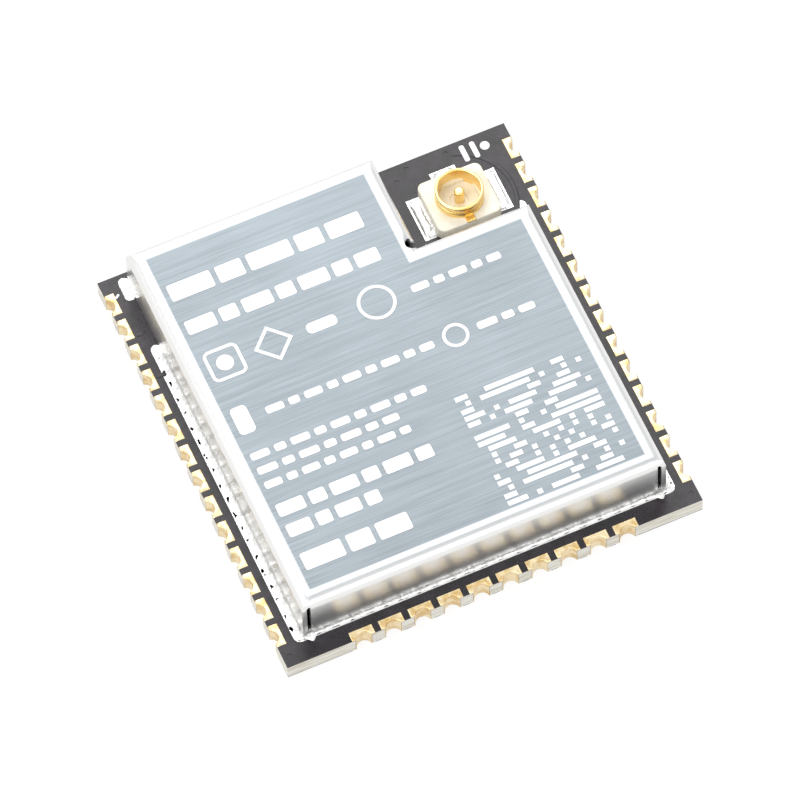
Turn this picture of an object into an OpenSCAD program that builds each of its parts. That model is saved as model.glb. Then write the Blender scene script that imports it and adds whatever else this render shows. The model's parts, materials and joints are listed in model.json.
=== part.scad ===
// Radio module for soldering to a larger board.
// A small circuit board has plated half holes along three edges. A folded shield can
// covers the circuit, and a miniature coaxial antenna socket stands in the can's cut-out.
//
// Frame: the origin is the centre of the board's underside. X runs along the front row of
// contacts, Y runs from the front row to the socket's end, Z points up. Millimetres.

/* [Board] */
// Width of the board, across the two side rows of contacts
board_w = 18; // [17.7:0.1:18.8]
// Length of the board, from the front row of contacts to the back edge
board_l = 19.2; // [19.1:0.1:20]
// Thickness of the finished board
board_t = 0.8; // [0.6:0.05:1.2]
// Thickness of the copper foil, and of the solder mask that fills in level with it
foil_t = 0.035; // [0.02:0.005:0.05]
// Radius of a plated through hole's drill
via_r = 0.1; // [0.08:0.01:0.12]
// Thickness of the plating inside a through hole
via_plating_t = 0.025; // [0.015:0.005:0.035]
// Depth of the dimple that the mask shows over a covered through hole
via_dimple = 0.02; // [0.01:0.002:0.03]

/* [Edge contacts] */
// Number of contacts in each side row
side_count = 14; // [10:1:14]
// Number of contacts in the front row
front_count = 10; // [6:1:10]
// Distance from the front edge to the middle of the first contact in a side row
side_row_front_gap = 1.5; // [1.45:0.05:1.6]
// Distance from the middle of the last contact in a side row to the back edge
side_row_back_gap = 1.19; // [1.1:0.01:1.25]
// Distance from a front corner to the middle of the nearest contact in the front row
front_row_end_gap = 3.285; // [3.2:0.005:3.4]
// Width of a land, along the edge
land_w = 1; // [0.8:0.01:1.05]
// Radius of a finished half hole
hole_r = 0.33; // [0.25:0.01:0.35]
// Distance from the board's edge out to the middle of a half hole
hole_out = 0.08; // [0:0.01:0.15]
// Thickness of the plating on a half hole's wall
plating_t = 0.04; // [0.025:0.005:0.05]
// Depth of a land on the top face, from the board's edge
top_land_depth = 0.4; // [0.38:0.01:0.5]
// Depth of a land on the underside, from the board's edge
bottom_land_depth = 0.85; // [0.6:0.05:1]

/* [Thermal pad] */
// Side of one square of the thermal pad
thermal_square = 1.33; // [1:0.01:1.5]
// Gap between the squares of the thermal pad
thermal_gap = 0.5; // [0.3:0.05:0.8]
// Squares along each side of the thermal pad
thermal_count = 3; // [2:1:4]
// Distance from the board's centre line to the thermal pad's middle, to the left
thermal_left = 1; // [0.6:0.1:1.2]
// Distance from the front edge to the thermal pad's middle
thermal_from_front = 10.5; // [10.2:0.1:10.8]

/* [Shield can] */
// Height of the module, over the marks on the shield
module_h = 3.2; // [2.8:0.1:4]
// Thickness of the shield's sheet
sheet_t = 0.2; // [0.12:0.01:0.24]
// Inside radius of the shield's bends
bend_r = 0.2; // [0.1:0.01:0.3]
// Distance from a side edge of the board to the shield's side wall
shield_side_gap = 1.14; // [1.05:0.01:1.3]
// Distance from the board's front edge to the shield's front wall
shield_front_gap = 1; // [0.95:0.01:1.2]
// Distance from the board's back edge to the shield's back wall
shield_back_gap = 0.5; // [0.4:0.01:0.8]
// Width of the cut-out for the antenna socket, from the right wall
notch_w = 4.9; // [4.5:0.1:5.2]
// Length of the cut-out for the antenna socket, from the back wall
notch_l = 4.55; // [4.2:0.05:4.8]
// Width of the open seam beside each outer corner
seam_w = 0.16; // [0.08:0.01:0.25]
// Distance from the shield's top down to the round end of a seam
seam_top_gap = 0.25; // [0.22:0.01:0.6]
// Radius of the relief hole in the cut-out's inner corner
relief_r = 0.25; // [0.15:0.01:0.3]
// Length of wall left out beside the relief hole
relief_l = 0.45; // [0.3:0.05:0.7]
// Thickness of the marks on the shield
mark_t = 0.01; // [0.005:0.001:0.02]

/* [Shield land and solder] */
// Distance that the shield's land reaches out from a side wall
land_side = 0.4; // [0.3:0.01:0.45]
// Distance that the shield's land reaches out from the front wall
land_front = 0.18; // [0.12:0.01:0.3]
// Distance that the land reaches in under a wall from its outer face
land_in = 0.05; // [0.02:0.01:0.06]
// Corner radius of the land
land_corner_r = 0.3; // [0.2:0.01:0.35]
// Distance from the board's back edge to the land's rounded ends
land_end_gap = 3.6; // [3.4:0.1:4.4]
// Height that the solder climbs up a wall
solder_h = 0.22; // [0.1:0.01:0.4]
// Strip of land that the solder leaves bare at its outer edge
solder_margin = 0.04; // [0.02:0.01:0.08]
// Height of the solder that fills the foot of a front seam
plug_h = 0.4; // [0.25:0.01:0.6]
// Distance that this solder reaches along the front wall, from the seam
plug_reach = 0.2; // [0.1:0.05:0.4]
// Width of the oval ground pad
oval_w = 0.45; // [0.35:0.01:0.5]
// Length of the oval ground pad
oval_l = 1.1; // [0.9:0.05:1.2]
// Distance from the board's left edge to the oval pad's middle
oval_from_left = 0.98; // [0.9:0.01:1.05]
// Distance from the board's back edge to the oval pad's middle
oval_from_back = 0.75; // [0.65:0.01:0.9]
// Distance between the two open vias in the oval pad
oval_via_gap = 0.76; // [0.5:0.01:0.8]

/* [Antenna socket] */
// Distance from the board's right edge to the socket's axis
socket_from_right = 3.2; // [3.2:0.02:3.4]
// Distance from the board's back edge to the socket's axis
socket_from_back = 2.75; // [2.6:0.05:2.85]
// Height of the socket above the board
socket_h = 1.25; // [1.1:0.05:1.6]
// Outer radius of the socket's ring
ring_r = 1; // [0.9:0.01:1.1]
// Wall thickness of the socket's ring
ring_t = 0.14; // [0.1:0.01:0.18]
// Depth of the snap groove around the ring
groove_depth = 0.06; // [0.03:0.01:0.08]
// Height of the snap groove
groove_h = 0.1; // [0.06:0.01:0.14]
// Distance from the ring's top down to the snap groove
groove_drop = 0.26; // [0.2:0.01:0.3]
// Chamfer at the ring's mouth
ring_chamfer = 0.05; // [0.02:0.01:0.06]
// Width of the socket's housing, across the ground tabs
housing_w = 2.8; // [2.7:0.05:3]
// Length of the socket's housing, along the signal tail
housing_l = 2.5; // [2.45:0.05:2.7]
// Height of the housing's shoulder
housing_h = 0.6; // [0.5:0.05:0.7]
// Height of the housing's floor inside the ring
floor_h = 0.4; // [0.3:0.05:0.45]
// Corner radius of the housing
housing_corner_r = 0.3; // [0.1:0.05:0.4]
// Radius of the centre pin
pin_r = 0.21; // [0.15:0.01:0.25]
// Distance from the ring's top down to the pin's tip
pin_drop = 0.15; // [0.05:0.01:0.3]
// Thickness of the strip that the contacts are stamped from
strip_t = 0.1; // [0.06:0.01:0.14]
// Length of a ground tab beyond the housing
tab_out = 0.35; // [0.2:0.01:0.4]
// Width of a ground tab
tab_w = 1.9; // [1.6:0.05:2]
// Width of the signal tail
tail_w = 0.6; // [0.4:0.05:0.8]
// Length of the signal tail beyond the housing
tail_out = 0.35; // [0.25:0.01:0.4]
// Width of the tongue on the housing's front shoulder
tongue_w = 0.4; // [0.3:0.05:0.6]
// Thickness of that tongue
tongue_t = 0.05; // [0.03:0.01:0.08]
// Distance that a land and its solder reach beyond the end of a tab or tail
socket_land_out = 0.2; // [0.1:0.01:0.22]
// Distance that a land reaches beyond the sides of a tab or tail
socket_land_side = 0.06; // [0.02:0.01:0.1]

/* [Silkscreen] */
// Width of a bar behind the antenna socket
silk_bar_w = 0.22; // [0.15:0.01:0.25]
// Length of a bar behind the antenna socket
silk_bar_l = 0.8; // [0.5:0.05:0.9]
// Radius of the dot beside the bars
silk_dot_r = 0.2; // [0.1:0.01:0.21]
// Distance between the middles of neighbouring marks behind the socket
silk_gap = 0.455; // [0.43:0.005:0.5]
// Distance from the board's right edge to the dot
silk_from_right = 1.14; // [1.1:0.01:1.2]
// Distance from the board's back edge to the middle of these marks
silk_from_back = 0.65; // [0.6:0.01:0.68]
// Width of the tick beside the last contact of the left row
tick_w = 0.1; // [0.06:0.01:0.12]
// Length of that tick
tick_l = 0.22; // [0.15:0.01:0.24]
// Distance from the board's left edge to the tick
tick_from_left = 0.5; // [0.47:0.01:0.55]
// Distance from the board's back edge to the tick
tick_from_back = 0.9; // [0.85:0.01:0.95]

/* [Parts under the shield] */
// Width of one square of the grid that the parts under the shield stand on
grid_w = 1; // [0.95:0.01:1.05]
// Side of the processor's package
processor_w = 5; // [4.6:0.1:5.4]
// Height of the processor's package
processor_h = 0.85; // [0.6:0.05:1]
// Contacts along each side of the processor
processor_count = 8; // [4:1:8]
// Distance between the processor's contacts
processor_pitch = 0.5; // [0.4:0.05:0.5]
// Width of a processor contact
processor_contact_w = 0.25; // [0.15:0.01:0.3]
// Length of a processor contact
processor_contact_l = 0.4; // [0.3:0.05:0.5]
// Thickness of the processor's lead frame
processor_frame_t = 0.2; // [0.1:0.01:0.25]
// Side of the processor's die pad
processor_die_pad = 3.4; // [2.6:0.1:3.5]
// Length of the memory's package, along its rows of leads
memory_l = 4.9; // [4.6:0.1:5.2]
// Width of the memory's package, between its rows of leads
memory_w = 3.9; // [3.6:0.1:4.1]
// Height of the memory's package
memory_h = 1.4; // [1.2:0.05:1.6]
// Gap between the board and the memory's package
memory_standoff = 0.1; // [0.05:0.01:0.2]
// Leads along each side of the memory
memory_count = 4; // [2:1:4]
// Distance between the memory's leads
memory_pitch = 1.27; // [1:0.01:1.3]
// Width of a memory lead
memory_lead_w = 0.42; // [0.3:0.01:0.5]
// Thickness of a memory lead
memory_lead_t = 0.15; // [0.1:0.01:0.2]
// Distance that a memory lead reaches out from the package
memory_lead_out = 1.05; // [0.9:0.05:1.1]
// Length of a memory lead's foot
memory_foot = 0.5; // [0.4:0.05:0.6]
// Length of the crystal
crystal_l = 3.2; // [2.8:0.1:3.4]
// Width of the crystal
crystal_w = 2.5; // [2:0.1:2.6]
// Height of the crystal's ceramic base
crystal_base_h = 0.5; // [0.3:0.05:0.7]
// Height of the crystal's metal lid
crystal_lid_h = 0.25; // [0.1:0.05:0.4]
// Distance from the base's edge to the crystal's lid
crystal_lid_inset = 0.15; // [0.1:0.01:0.3]
// Length of a capacitor or a resistor
chip_l = 1; // [0.8:0.05:1.1]
// Width of a capacitor or a resistor
chip_w = 0.5; // [0.4:0.05:0.55]
// Height of a capacitor
capacitor_h = 0.5; // [0.3:0.05:0.6]
// Height of a resistor
resistor_h = 0.35; // [0.25:0.05:0.45]
// Length of an inductor
inductor_l = 1.6; // [1.4:0.05:1.7]
// Width of an inductor
inductor_w = 0.8; // [0.6:0.05:0.9]
// Height of an inductor
inductor_h = 0.8; // [0.5:0.05:0.9]
// Length of the metal cap on each end of these parts
cap_l = 0.25; // [0.15:0.01:0.3]
// Distance that a land and its solder reach beyond a part's end
chip_land_out = 0.2; // [0.1:0.01:0.25]
// Share of a part's height that its solder climbs
chip_solder_rise = 0.6; // [0.3:0.05:0.9]

/* [Hidden] */

$fn = 48;
// Overshoot of a cutting shape past the face that it cuts
over = 1;

laminate_t = board_t - 2 * foil_t;
top_foil_z = board_t - foil_t;
drill_r = hole_r + plating_t;
// Contacts are spread evenly along their edge, here at 1.27 mm in all three rows
side_pitch = (board_l - side_row_front_gap - side_row_back_gap) / (side_count - 1);
front_pitch = (board_w - 2 * front_row_end_gap) / (front_count - 1);

// Shield: outer faces of its walls, and of the cut-out
can_x = board_w / 2 - shield_side_gap;
can_front = -board_l / 2 + shield_front_gap;
can_back = board_l / 2 - shield_back_gap;
notch_x = can_x - notch_w;
notch_y = can_back - notch_l;
can_top = module_h - mark_t;
outer_bend_r = bend_r + sheet_t;
land_end_y = board_l / 2 - land_end_gap;
strip_w = land_side + land_in;

// Thermal pad and the processor above it
thermal_pos = [-thermal_left, -board_l / 2 + thermal_from_front];
thermal_step = thermal_square + thermal_gap;

// Antenna socket: its axis, and heights measured from the board's underside
socket_pos = [board_w / 2 - socket_from_right, board_l / 2 - socket_from_back];
ring_top = board_t + socket_h;
shoulder_z = board_t + housing_h;
floor_z = board_t + floor_h;
tube_foot_z = board_t + 2 * strip_t;
ring_ri = ring_r - ring_t;
tab_end = housing_w / 2 + tab_out;
tail_end = housing_l / 2 + tail_out;

oval_pos = [-board_w / 2 + oval_from_left, board_l / 2 - oval_from_back];
oval_vias = [for (s = [-1, 1]) oval_pos + [0, s * oval_via_gap / 2]];

// Covered vias: distance in from a side edge, distance in from the front or back edge
corner_vias = [[0.3, 0.45], [1.45, 0.45], [2.15, 0.48]];
back_vias = [[-5.1, 0.75], [-4.5, 0.33], [-2.75, 0.33]];
front_via_pos = [for (v = corner_vias, s = [-1, 1])
    [s * (board_w / 2 - v[0]), -board_l / 2 + v[1]]];
back_via_pos = [for (v = back_vias) [board_w / 2 + v[0], board_l / 2 - v[1]]];
covered_vias = concat(front_via_pos, back_via_pos);

// Parts under the shield stand on a grid: squares to the right, squares to the back and turn,
// counted from a side of the processor or from the inner face of a wall
function grid_places(corner, squares) = [for (s = squares)
    [corner[0] + s[0] * grid_w, corner[1] + s[1] * grid_w, s[2]]];
processor_edge = processor_w / 2;
wall_left = -can_x + sheet_t;
wall_right = can_x - sheet_t;
wall_front = can_front + sheet_t;
wall_back = can_back - sheet_t;
memory_place = grid_places([wall_right, wall_front], [[-3.76, 3.8, 0]])[0];
crystal_place = grid_places([wall_left, wall_back], [[2.1, -2, 0]])[0];
capacitor_places = concat(
    grid_places(thermal_pos - [processor_edge, 0],
        [[-1, 2.2, 0], [-1, 1.2, 0], [-1, -1.1, 0], [-1, -2.1, 0]]),
    grid_places(thermal_pos - [0, processor_edge],
        [[-2.2, -1, 90], [-1.2, -1, 90], [-0.2, -1, 90], [0.8, -1, 90]]),
    grid_places(thermal_pos + [0, processor_edge], [[-1.8, 0.8, 0], [0, 0.8, 0]]),
    grid_places(thermal_pos + [processor_edge, 0], [[1, 0.1, 90], [1.2, -1.4, 0]]),
    grid_places([wall_left, thermal_pos[1]], [[1.2, 1.8, 0]])
);
resistor_places = concat(
    grid_places([wall_left, thermal_pos[1]],
        [[1.1, -0.3, 90], [1.1, -2.3, 90], [1.1, -4.3, 90], [2.2, -4.3, 90]]),
    grid_places([wall_right, thermal_pos[1]], [[-3.1, 0.1, 90], [-2.1, 0.1, 90]])
);
inductor_places = concat(
    grid_places([thermal_pos[0], wall_back], [[-1.2, -1.4, 90], [0.4, -1.4, 90], [2, -1.4, 90]]),
    grid_places([thermal_pos[0], wall_front], [[-3.6, 1.8, 0], [-0.4, 1.8, 0]])
);

// Colours
laminate_color = "#e8e2cf";
mask_color = "#2a262b";
gold_color = "#d6b15c";
copper_color = "#b87a4b";
tin_color = "#d7d9d8";
sheet_color = "#8d9599";
mark_color = "#eef0f2";
ivory_color = "#f1e9d2";
ring_color = "#e2b144";
package_color = "#1e1e20";
ceramic_color = "#cfc8b4";
capacitor_color = "#b39a73";
inductor_color = "#5b6a63";

// ---- Shared shapes ----

// A rectangle given by two opposite corners
module span(p, q) {
    translate(p) square(q - p);
}

// A box given by two opposite corners
module block(p, q) {
    translate(p) cube(q - p);
}

// Rectangle about the origin with four round corners
module round_rect(size, r) {
    span([-size[0] / 2, -size[1] / 2 + r], [size[0] / 2, size[1] / 2 - r]);
    span([-size[0] / 2 + r, -size[1] / 2], [size[0] / 2 - r, size[1] / 2]);
    for (sx = [-1, 1], sy = [-1, 1])
        translate([sx * (size[0] / 2 - r), sy * (size[1] / 2 - r)]) circle(r);
}

// Straight bar with two round ends, lying along Y
module slot_bar(w, l) {
    span([-w / 2, -l / 2 + w / 2], [w / 2, l / 2 - w / 2]);
    for (s = [-1, 1]) translate([0, s * (l - w) / 2]) circle(w / 2);
}

// Copies its children to each place of a list
module at_places(places) {
    for (p = places) translate([p[0], p[1], 0]) rotate(p[2]) children();
}

// Hollow fillet of solder as an outline: w out from the wall, h up the wall
module fillet_outline(w, h) {
    steps = 6;
    arc = [for (i = [0:steps]) let (a = 90 * i / steps)
        [w * (1 - sin(a)), h * (1 - cos(a))]];
    polygon(concat([[0, 0]], arc));
}

// Solder fillet that starts at the origin and runs l along +Y, against a wall at x = 0
module fillet_run(w, h, l) {
    translate([0, l, 0]) rotate([90, 0, 0]) linear_extrude(l) fillet_outline(w, h);
}

// ---- Board ----

// Places each contact of a row along an edge, with +X pointing into the board
module along_left_edge() {
    for (i = [0:side_count - 1])
        translate([-board_w / 2, -board_l / 2 + side_row_front_gap + i * side_pitch, 0])
            children();
}

module along_right_edge() {
    mirror([1, 0, 0]) along_left_edge() children();
}

module along_front_edge() {
    for (i = [0:front_count - 1])
        translate([(i - (front_count - 1) / 2) * front_pitch, -board_l / 2, 0])
            rotate(90) children();
}

module along_edges() {
    along_left_edge() children();
    along_right_edge() children();
    along_front_edge() children();
}

module board_outline() {
    square([board_w, board_l], center = true);
}

// Opening in the mask for one land of a half hole, running out past the board's edge
module edge_opening(depth) {
    span([-over, -land_w / 2], [depth, land_w / 2]);
}

module thermal_squares() {
    half = (thermal_count - 1) / 2;
    for (i = [-half:half], j = [-half:half])
        translate(thermal_pos + [i, j] * thermal_step) square(thermal_square, center = true);
}

module board_laminate() {
    color(laminate_color)
    translate([0, 0, foil_t])
    linear_extrude(laminate_t)
    difference() {
        board_outline();
        along_edges() translate([-hole_out, 0]) circle(drill_r);
        for (v = concat(covered_vias, oval_vias)) translate(v) circle(via_r);
    }
}

module top_solder_mask() {
    color(mask_color)
    difference() {
        translate([0, 0, top_foil_z])
        linear_extrude(foil_t)
        difference() {
            board_outline();
            along_edges() edge_opening(top_land_depth);
            shield_land_outline();
            oval_outline();
            socket_land_outline();
            component_land_outline();
        }
        for (v = covered_vias)
            translate([v[0], v[1], board_t - via_dimple]) cylinder(r = via_r, h = over);
    }
}

module bottom_solder_mask() {
    color(mask_color)
    linear_extrude(foil_t)
    difference() {
        board_outline();
        along_edges() edge_opening(bottom_land_depth);
        thermal_squares();
    }
}

module via_barrels() {
    color(copper_color)
    translate([0, 0, foil_t])
    linear_extrude(laminate_t)
    for (v = concat(covered_vias, oval_vias)) translate(v) difference() {
        circle(via_r);
        circle(via_r - via_plating_t);
    }
}

// One plated half hole: its lands on both faces and the barrel between them
module edge_contact() {
    difference() {
        union() {
            block([0, -land_w / 2, top_foil_z], [top_land_depth, land_w / 2, board_t]);
            block([0, -land_w / 2, 0], [bottom_land_depth, land_w / 2, foil_t]);
            intersection() {
                translate([-hole_out, 0, foil_t]) cylinder(r = drill_r, h = laminate_t);
                block([0, -land_w / 2, 0], [top_land_depth, land_w / 2, board_t]);
            }
        }
        translate([-hole_out, 0, -over]) cylinder(r = hole_r, h = board_t + 2 * over);
    }
}

module left_edge_contacts() {
    color(gold_color) along_left_edge() edge_contact();
}

module right_edge_contacts() {
    color(gold_color) along_right_edge() edge_contact();
}

module front_edge_contacts() {
    color(gold_color) along_front_edge() edge_contact();
}

module thermal_pad() {
    color(gold_color) linear_extrude(foil_t) thermal_squares();
}

// ---- Shield can ----

// Upright outline with its two upper corners rounded
module arch(u0, u1, v0, v1, r) {
    span([u0, v0], [u1, v1 - r]);
    span([u0 + r, v0], [u1 - r, v1]);
    for (u = [u0 + r, u1 - r]) translate([u, v1 - r]) circle(r);
}

// Block whose four top edges are bent round: two arched bars that cross
module bent_block(x0, x1, y0, y1, z0, z1, r) {
    intersection() {
        translate([0, y1, 0]) rotate([90, 0, 0]) linear_extrude(y1 - y0)
            arch(x0, x1, z0, z1, r);
        translate([x0, 0, 0]) rotate([90, 0, 90]) linear_extrude(x1 - x0)
            arch(y0, y1, z0, z1, r);
    }
}

// The can's L-shaped form, drawn in by an inset from its outer faces
module can_form(inset, z0, r) {
    z1 = can_top - inset;
    bent_block(-can_x + inset, notch_x - inset, can_front + inset, can_back - inset,
        z0, z1, r);
    bent_block(-can_x + inset, can_x - inset, can_front + inset, notch_y - inset,
        z0, z1, r);
}

// Slot for an open seam, centred at x in the wall whose outer face is at y
module seam_slot(x, y, inward) {
    seam_top = can_top - seam_top_gap;
    reach = outer_bend_r + over;
    y0 = inward > 0 ? y - over : y - outer_bend_r;
    translate([x - seam_w / 2, y0, 0])
        cube([seam_w, reach, seam_top - seam_w / 2]);
    translate([x, y0, seam_top - seam_w / 2]) rotate([-90, 0, 0])
        cylinder(d = seam_w, h = reach);
}

// Every seam stands in a front or back wall, against the inner face of its side wall
module seams() {
    from_wall = sheet_t + seam_w / 2;
    seam_slot(-can_x + from_wall, can_front, 1);
    seam_slot(can_x - from_wall, can_front, 1);
    seam_slot(-can_x + from_wall, can_back, -1);
    seam_slot(notch_x - from_wall, can_back, -1);
    seam_slot(can_x - from_wall, notch_y, -1);
}

// Relief in the cut-out's inner corner: a hole in the blank, and the wall left out beside it
module corner_relief() {
    translate([notch_x - sheet_t, notch_y + sheet_t, 0]) cylinder(r = relief_r, h = can_top + over);
    block([notch_x - sheet_t, notch_y, 0], [notch_x + over, notch_y + relief_l, can_top + over]);
}

module shield_can() {
    color(sheet_color)
    difference() {
        can_form(0, board_t, outer_bend_r);
        can_form(sheet_t, board_t - over, bend_r);
        seams();
        corner_relief();
    }
}

// ---- Shield land and solder ----

// Strip around the front of the can, with a round end beside each side wall
module shield_land_outline() {
    x_out = can_x + land_side;
    y_out = can_front - land_front;
    for (s = [-1, 1]) {
        translate([s * (can_x + land_side - strip_w / 2), 0]) {
            span([-strip_w / 2, y_out + land_corner_r], [strip_w / 2, land_end_y - strip_w / 2]);
            translate([0, land_end_y - strip_w / 2]) circle(strip_w / 2);
        }
        translate([s * (x_out - land_corner_r), y_out + land_corner_r]) circle(land_corner_r);
    }
    span([-x_out + land_corner_r, y_out], [x_out - land_corner_r, can_front + land_in]);
}

module oval_outline() {
    translate(oval_pos) slot_bar(oval_w, oval_l);
}

module shield_land() {
    color(tin_color) translate([0, 0, top_foil_z]) linear_extrude(foil_t) shield_land_outline();
}

module oval_ground_pad() {
    color(tin_color)
    translate([0, 0, top_foil_z])
    linear_extrude(foil_t)
    difference() {
        oval_outline();
        for (v = oval_vias) translate(v) circle(via_r - via_plating_t);
    }
}

// Solder in the foot of the right front seam, and the taller fillet in front of it
module seam_plug() {
    seam_x = can_x - sheet_t - seam_w;
    block([seam_x, can_front, 0], [seam_x + seam_w, can_front + sheet_t, plug_h]);
    translate([seam_x - plug_reach, can_front, 0]) rotate(-90)
        fillet_run(land_front - solder_margin / 2, plug_h, can_x - seam_x + plug_reach);
}

module shield_solder() {
    side_w = land_side - solder_margin;
    front_w = land_front - solder_margin;
    side_l = land_end_y - strip_w - can_front;
    right_l = notch_y - can_front;
    color(tin_color)
    translate([0, 0, board_t]) {
        mirror([1, 0, 0]) translate([can_x, can_front, 0]) fillet_run(side_w, solder_h, side_l);
        translate([can_x, can_front, 0]) fillet_run(side_w, solder_h, right_l);
        translate([-can_x, can_front, 0]) rotate(-90) fillet_run(front_w, solder_h, 2 * can_x);
        for (m = [0, 1]) mirror([m, 0, 0]) seam_plug();
    }
}

// ---- Marks on the shield: rows of plain bars, simple signs and a block of dashes ----

// The marks are laid out about the middle of a field, which is then fitted to the can
mark_field = [15.72, 17.7];
mark_fit = min(2 * can_x / mark_field[0], (can_back - can_front) / mark_field[1]);

// Rows of bars: left end, right end, middle, height and number of bars
bar_rows = [
    [-7, 1.4, 6.35, 0.8, 5], [-7, 1.4, 4.6, 0.66, 7], [1.9, 5.8, 2.5, 0.34, 5],
    [-5.6, 1.7, -0.15, 0.34, 9], [3.6, 6.1, -0.15, 0.34, 3], [-7, 0.6, -1.85, 0.34, 9],
    [-7, -0.9, -2.55, 0.34, 7], [-7, -0.7, -3.25, 0.34, 8], [-7, -0.3, -4.5, 0.6, 6],
    [-7, -3, -5.5, 0.6, 4], [-7, -2.4, -7, 0.8, 3]
];
bar_gap = 0.22;
// Every second bar is longer than its neighbour by this share of the mean length
bar_sway = 0.25;
bar_corner_r = 0.1;

// Signs in one row: a frame round a disc, a lozenge, a short bar and a ring
sign_y = 2.55;
sign_line = 0.14;
frame_x = -6.2;
frame_side = 1.5;
frame_corner_r = 0.3;
disc_r = 0.36;
lozenge_x = -4.1;
lozenge_side = 1.2;
short_bar_x = -2;
short_bar_size = [1.3, 0.5];
ring_x = 0.4;
ring_sign_r = 0.8;
// Signs in the row of bars below: an upright bar and a small ring
low_sign_y = -0.15;
upright_x = -6.6;
upright_size = [0.7, 1.3];
sign_corner_r = 0.2;
small_ring_x = 2.65;
small_ring_r = 0.55;

dash_count = 17;
dash_cell = 0.32;
dash_w = 0.22;
dash_corner = [1.4, -8.1];

module bar_row(x0, x1, y, h, n) {
    mean = (x1 - x0 - (n - 1) * bar_gap) / n;
    for (i = [0:n - 1]) {
        grow = (i % 2 == 0 ? 1 : -1) * bar_sway * mean;
        start = x0 + i * (mean + bar_gap) + (i % 2 == 0 ? 0 : bar_sway * mean);
        w = i == n - 1 && n % 2 == 1 ? mean : mean + grow;
        translate([start + w / 2, y]) round_rect([w, h], bar_corner_r);
    }
}

// Whether a cell of the block is filled: a scattered rule on its row and column
function cell_on(row, col) =
    col < dash_count && (row * row * 5 + col * col * 3 + row * col * 7 + 2 * col) % 13 < 7;

// Filled cells in a row, counted from one cell onwards
function run_length(row, col) = cell_on(row, col) ? 1 + run_length(row, col + 1) : 0;

// Each run of filled cells in a row is one dash
module dash_block() {
    for (row = [0:dash_count - 1], col = [0:dash_count - 1])
        if (cell_on(row, col) && (col == 0 || !cell_on(row, col - 1)))
            translate(dash_corner + [col, row] * dash_cell)
                square([(run_length(row, col) - 1) * dash_cell + dash_w, dash_w]);
}

module frame_sign(side, r) {
    inner = side - 2 * sign_line;
    difference() {
        round_rect([side, side], r);
        round_rect([inner, inner], r / 2);
    }
}

module lozenge_sign(side) {
    rotate(45) difference() {
        square(side, center = true);
        square(side - 2 * sign_line, center = true);
    }
}

module ring_sign(r) {
    difference() {
        circle(r);
        circle(r - sign_line);
    }
}

module plain_signs() {
    translate([frame_x, sign_y]) {
        frame_sign(frame_side, frame_corner_r);
        circle(disc_r);
    }
    translate([lozenge_x, sign_y]) lozenge_sign(lozenge_side);
    translate([short_bar_x, sign_y]) round_rect(short_bar_size, sign_corner_r);
    translate([ring_x, sign_y]) ring_sign(ring_sign_r);
    translate([upright_x, low_sign_y]) round_rect(upright_size, sign_corner_r);
    translate([small_ring_x, low_sign_y]) ring_sign(small_ring_r);
}

module shield_marks() {
    color(mark_color)
    translate([0, (can_front + can_back) / 2, can_top])
    linear_extrude(mark_t)
    scale([mark_fit, mark_fit]) {
        for (r = bar_rows) bar_row(r[0], r[1], r[2], r[3], r[4]);
        plain_signs();
        dash_block();
    }
}

// ---- Antenna socket ----

// Ring wall as an outline to be turned: chamfered mouth and a snap groove outside
module ring_outline() {
    groove_top = ring_top - groove_drop;
    groove_foot = groove_top - groove_h;
    polygon([
        [ring_ri, tube_foot_z], [ring_r, tube_foot_z],
        [ring_r, groove_foot], [ring_r - groove_depth, groove_foot],
        [ring_r - groove_depth, groove_top], [ring_r, groove_top],
        [ring_r, ring_top - ring_chamfer], [ring_r - ring_chamfer, ring_top],
        [ring_ri, ring_top]
    ]);
}

module ring_tube() {
    rotate_extrude() ring_outline();
}

// Ground tabs under the ring, one to each side, with the riser that meets the tube
module ground_tabs() {
    for (s = [0, 1]) mirror([s, 0, 0]) {
        block([ring_ri, -tab_w / 2, board_t], [tab_end, tab_w / 2, board_t + strip_t]);
        intersection() {
            block([ring_ri, -tab_w / 4, board_t], [ring_r, tab_w / 4, tube_foot_z]);
            translate([0, 0, board_t]) cylinder(r = ring_r, h = 2 * strip_t);
        }
    }
}

module tongue() {
    block([-tongue_w / 2, -housing_l / 2, shoulder_z],
        [tongue_w / 2, -ring_ri - groove_depth / 2, shoulder_z + tongue_t]);
}

module shell_form() {
    ring_tube();
    ground_tabs();
    difference() {
        tongue();
        translate([0, 0, board_t]) cylinder(r = ring_r - ring_t / 2, h = socket_h);
    }
}

module pin_form() {
    tip_z = ring_top - pin_drop;
    tip_chamfer = pin_r / 3;
    rotate_extrude() polygon([
        [0, board_t], [pin_r, board_t], [pin_r, tip_z - tip_chamfer],
        [pin_r - tip_chamfer, tip_z], [0, tip_z]
    ]);
    block([-tail_w / 2, 0, board_t], [tail_w / 2, tail_end, board_t + strip_t]);
}

module socket_shell() {
    color(ring_color) translate(socket_pos) shell_form();
}

module socket_pin() {
    color(ring_color) translate(socket_pos) pin_form();
}

module socket_housing() {
    color(ivory_color)
    translate(socket_pos)
    difference() {
        translate([0, 0, board_t]) linear_extrude(housing_h)
            round_rect([housing_w, housing_l], housing_corner_r);
        translate([0, 0, floor_z]) cylinder(r = ring_ri, h = over);
        shell_form();
        pin_form();
    }
}

// Lands of the socket: one under each ground tab and one under the signal tail
module socket_land_outline() {
    translate(socket_pos) {
        for (s = [0, 1]) mirror([s, 0])
            span([ring_r, -tab_w / 2 - socket_land_side],
                [tab_end + socket_land_out, tab_w / 2 + socket_land_side]);
        span([-tail_w / 2 - socket_land_side - socket_land_out, housing_l / 2 - socket_land_out],
            [tail_w / 2 + socket_land_side + socket_land_out, tail_end + socket_land_out]);
    }
}

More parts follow.
